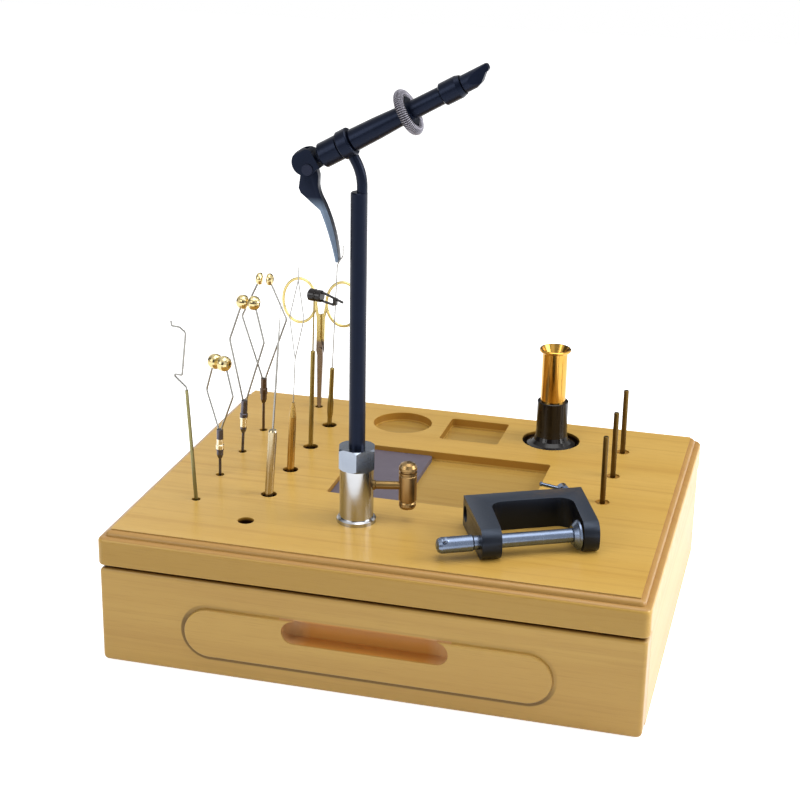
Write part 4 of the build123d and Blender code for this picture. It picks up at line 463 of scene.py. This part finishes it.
COLLAR_LOW, COLLAR_HIGH = 0.0972, 0.1034        # heights of the pale collar
dress(drawn_metal("dulled brass, dark", "#8E8A62", "#6E6844", 0.35), "whip_finisher_handle")
dress(drawn_metal("bright steel wire", "#9D9C98", "#82817D", 0.25), "whip_finisher_wire", "bobbin_1_arms",
      "bobbin_2_arms", "bobbin_3_arms", "bodkin_needle", "threader_wire", "half_hitch_needle")
ferrule = drawn_metal("turned bobbin ferrule with a pale collar", "#6E6A70", "#403E4A", 0.26)
tree = ferrule.node_tree
shader = tree.nodes["Principled BSDF"]
steel = shader.inputs["Base Color"].links[0].from_socket
split = add(tree, "ShaderNodeSeparateXYZ", Vector=add(tree, "ShaderNodeTexCoord").outputs["Object"])
above = add(tree, "ShaderNodeMath", {"operation": "GREATER_THAN"}, _0=split.outputs["Z"], _1=COLLAR_LOW)
below = add(tree, "ShaderNodeMath", {"operation": "LESS_THAN"}, _0=split.outputs["Z"], _1=COLLAR_HIGH)
collar = add(tree, "ShaderNodeMath", {"operation": "MULTIPLY"}, _0=above.outputs[0], _1=below.outputs[0])
banded = add(tree, "ShaderNodeMix", {"data_type": "RGBA"}, Factor=collar.outputs[0], A=steel,
             B=linear("#E6DCC0"))
tree.links.new(banded.outputs["Result"], shader.inputs["Base Color"])
dress(ferrule, "bobbin_1_tube", "bobbin_2_tube")
dress(drawn_metal("browned bobbin tube", "#6E5E4C", "#453A38", 0.28), "bobbin_3_tube")
dress(drawn_metal("polished pale brass", "#DECFA0", "#CDB67E", 0.13, bump=0.01), "bobbin_1_cups",
      "bobbin_2_cups", "bobbin_3_cups")
dress(drawn_metal("turned nickel brass", "#C9BDA2", "#B0A27F", 0.26, bump=0.01), "bodkin_handle")
dress(drawn_metal("turned handle brass", "#BF9D58", "#A27F44", 0.26, bump=0.01), "threader_handle")
dress(drawn_metal("turned olive brass", "#96824A", "#786838", 0.28, bump=0.01),
      "hackle_pliers_handle", "half_hitch_handle")


# ---------------------------------------------------------------- scissors
# Stamped steel halves, gilt on the rings and shanks and bare polished steel on the blades.

GILT_FROM, GILT_FULL = SLAB_TOP + 0.0455, SLAB_TOP + 0.0475     # heights where the gilt starts
gilt, tree, shader = start_material("gilt steel with bare blades")
place = add(tree, "ShaderNodeTexCoord").outputs["Object"]
split = add(tree, "ShaderNodeSeparateXYZ", Vector=place)
high = add(tree, "ShaderNodeMapRange", Value=split.outputs["Z"], From_Min=GILT_FROM,
           From_Max=GILT_FULL)
tone = add(tree, "ShaderNodeMix", {"data_type": "RGBA"}, Factor=high.outputs[0], A=linear("#8A7F78"),
           B=linear("#CDBB7C"))
tree.links.new(tone.outputs["Result"], shader.inputs["Base Color"])
scratch = add(tree, "ShaderNodeTexNoise", Vector=place, Scale=700.0, Detail=2.0)
dull = add(tree, "ShaderNodeMapRange", Value=scratch.outputs["Fac"], To_Min=0.16, To_Max=0.3)
tree.links.new(dull.outputs[0], shader.inputs["Roughness"])
shader.inputs["Metallic"].default_value = 1.0
dress(gilt, "scissor_half_left", "scissor_half_right", "scissor_screw")


# ---------------------------------------------------------------- stacker and plier head
# The stacker's weighted cup and the pliers' turning head and jaws are moulded in glossy black
# plastic, with a little dust on it. The stacker's tube is a length of polished brass.

dress(drawn_metal("polished deep brass", "#D2A452", "#B98C3C", 0.14, bump=0.02), "stacker_tube")
gloss_black, tree, shader = start_material("glossy black moulded plastic")
place = add(tree, "ShaderNodeTexCoord").outputs["Object"]
dust = add(tree, "ShaderNodeTexNoise", Vector=place, Scale=400.0, Detail=4.0)
dull = add(tree, "ShaderNodeMapRange", Value=dust.outputs["Fac"], To_Min=0.08, To_Max=0.2)
tree.links.new(dull.outputs[0], shader.inputs["Roughness"])
shader.inputs["Base Color"].default_value = linear("#100A0A")
shader.inputs["Specular IOR Level"].default_value = 0.32
shader.inputs["IOR"].default_value = 1.52
dress(gloss_black, "hackle_pliers_head", "hackle_pliers_spring", "stacker_cup")


# ---------------------------------------------------------------- floor, light and camera
# A white floor under the cabinet, a large soft light from above, a brighter one from the right
# and a weak fill from the front left.

FLOOR_GLOW = 0.8                # what the camera and reflections see added to the floor
ROOM_LEVEL, DARK_LEVEL = 0.4, 0.12      # of the room's light, and of its dark uprights in reflections
floor_mesh = bpy.data.meshes.new("floor")
shape = bmesh.new()
bmesh.ops.create_grid(shape, x_segments=1, y_segments=1, size=2.5)
shape.to_mesh(floor_mesh)
shape.free()
floor = bpy.data.objects.new("floor", floor_mesh)
bpy.context.scene.collection.objects.link(floor)
white_paper, tree, shader = start_material("white paper sweep")
shader.inputs["Base Color"].default_value = (0.86, 0.86, 0.86, 1.0)
shader.inputs["Roughness"].default_value = 0.9
shader.inputs["Specular IOR Level"].default_value = 0.1
rays = add(tree, "ShaderNodeLightPath")
shown = add(tree, "ShaderNodeMath", {"operation": "MAXIMUM"}, _0=rays.outputs["Is Camera Ray"],
            _1=rays.outputs["Is Glossy Ray"])
glow = add(tree, "ShaderNodeMath", {"operation": "MULTIPLY"}, _0=shown.outputs[0], _1=FLOOR_GLOW)
light_up = add(tree, "ShaderNodeEmission", Color=(1.0, 1.0, 1.0, 1.0), Strength=glow.outputs[0])
both = add(tree, "ShaderNodeAddShader", _0=shader.outputs["BSDF"], _1=light_up.outputs[0])
tree.links.new(both.outputs[0], tree.nodes["Material Output"].inputs["Surface"])
floor_mesh.materials.append(white_paper)


def soft_light(name, place, aim, size, power):
    """A white rectangular lamp, its size in metres and its power in watts."""
    lamp = bpy.data.lights.new(name, "AREA")
    lamp.shape = "RECTANGLE"
    lamp.size, lamp.size_y = size
    lamp.energy = power
    holder = bpy.data.objects.new(name, lamp)
    holder.location = place
    holder.rotation_euler = (Vector(aim) - Vector(place)).to_track_quat("-Z", "Y").to_euler()
    bpy.context.scene.collection.objects.link(holder)


soft_light("overhead", (0.2, -0.1, 1.5), (0.0, 0.0, 0.1), (1.2, 1.2), 12.0)
soft_light("right", (1.3, 0.1, 0.7), (0.0, 0.0, 0.08), (0.8, 0.9), 15.0)
soft_light("front left", (-0.9, -1.3, 0.8), (0.0, 0.0, 0.1), (0.9, 0.9), 8.0)

world = bpy.data.worlds.new("white room")
bpy.context.scene.world = world
world.use_nodes = True
tree = world.node_tree
tree.nodes.clear()
rays = add(tree, "ShaderNodeLightPath")
# reflections show a white room with four dark uprights, so that polished metal has contrast
aim = add(tree, "ShaderNodeTexCoord").outputs["Generated"]
split = add(tree, "ShaderNodeSeparateXYZ", Vector=aim)
bearing = add(tree, "ShaderNodeMath", {"operation": "ARCTAN2"}, _0=split.outputs["Y"], _1=split.outputs["X"])
waves = add(tree, "ShaderNodeMath", {"operation": "MULTIPLY_ADD"}, _0=bearing.outputs[0], _1=4.0, _2=-1.2)
wave = add(tree, "ShaderNodeMath", {"operation": "SINE"}, _0=waves.outputs[0])
uprights = add(tree, "ShaderNodeMapRange", Value=wave.outputs[0], From_Min=-0.4, From_Max=0.5,
               To_Min=DARK_LEVEL)
ceiling = add(tree, "ShaderNodeMapRange", Value=split.outputs["Z"], From_Min=0.45, From_Max=0.8)
mirrored = add(tree, "ShaderNodeMath", {"operation": "MAXIMUM"}, _0=uprights.outputs[0], _1=ceiling.outputs[0])
lit = add(tree, "ShaderNodeMapRange", Value=rays.outputs["Is Glossy Ray"], To_Min=ROOM_LEVEL,
          To_Max=mirrored.outputs[0])
seen = add(tree, "ShaderNodeMath", {"operation": "MAXIMUM"}, _0=rays.outputs["Is Camera Ray"],
           _1=rays.outputs["Is Transmission Ray"])
level = add(tree, "ShaderNodeMapRange", Value=seen.outputs[0], To_Min=lit.outputs[0], To_Max=1.0)
room = add(tree, "ShaderNodeBackground", Color=(1.0, 1.0, 1.0, 1.0), Strength=level.outputs[0])
add(tree, "ShaderNodeOutputWorld", Surface=room.outputs[0])

# the photograph's view: place in metres, turns in degrees, lens and sensor in millimetres
CAMERA_PLACE = (0.22954, -0.93024, 0.47833)
CAMERA_TURNS = (14.676, 19.931, 1.002)
FOCAL_LENGTH, SENSOR_WIDTH = 77.83, 36.0
yaw, pitch, roll = (math.radians(a) for a in CAMERA_TURNS)
ahead = Vector((-math.sin(yaw) * math.cos(pitch), math.cos(yaw) * math.cos(pitch), -math.sin(pitch)))
level_right = Vector((math.cos(yaw), math.sin(yaw), 0.0))
level_up = level_right.cross(ahead)
right = math.cos(roll) * level_right + math.sin(roll) * level_up
up = -math.sin(roll) * level_right + math.cos(roll) * level_up
turn = Matrix((right, up, -ahead)).transposed().to_4x4()
lens = bpy.data.cameras.new("camera")
lens.lens, lens.sensor_width = FOCAL_LENGTH, SENSOR_WIDTH
lens.clip_start, lens.clip_end = 0.01, 50.0
camera = bpy.data.objects.new("camera", lens)
camera.matrix_world = Matrix.Translation(CAMERA_PLACE) @ turn
bpy.context.scene.collection.objects.link(camera)
bpy.context.scene.camera = camera
bpy.context.scene.view_settings.view_transform = "Standard"
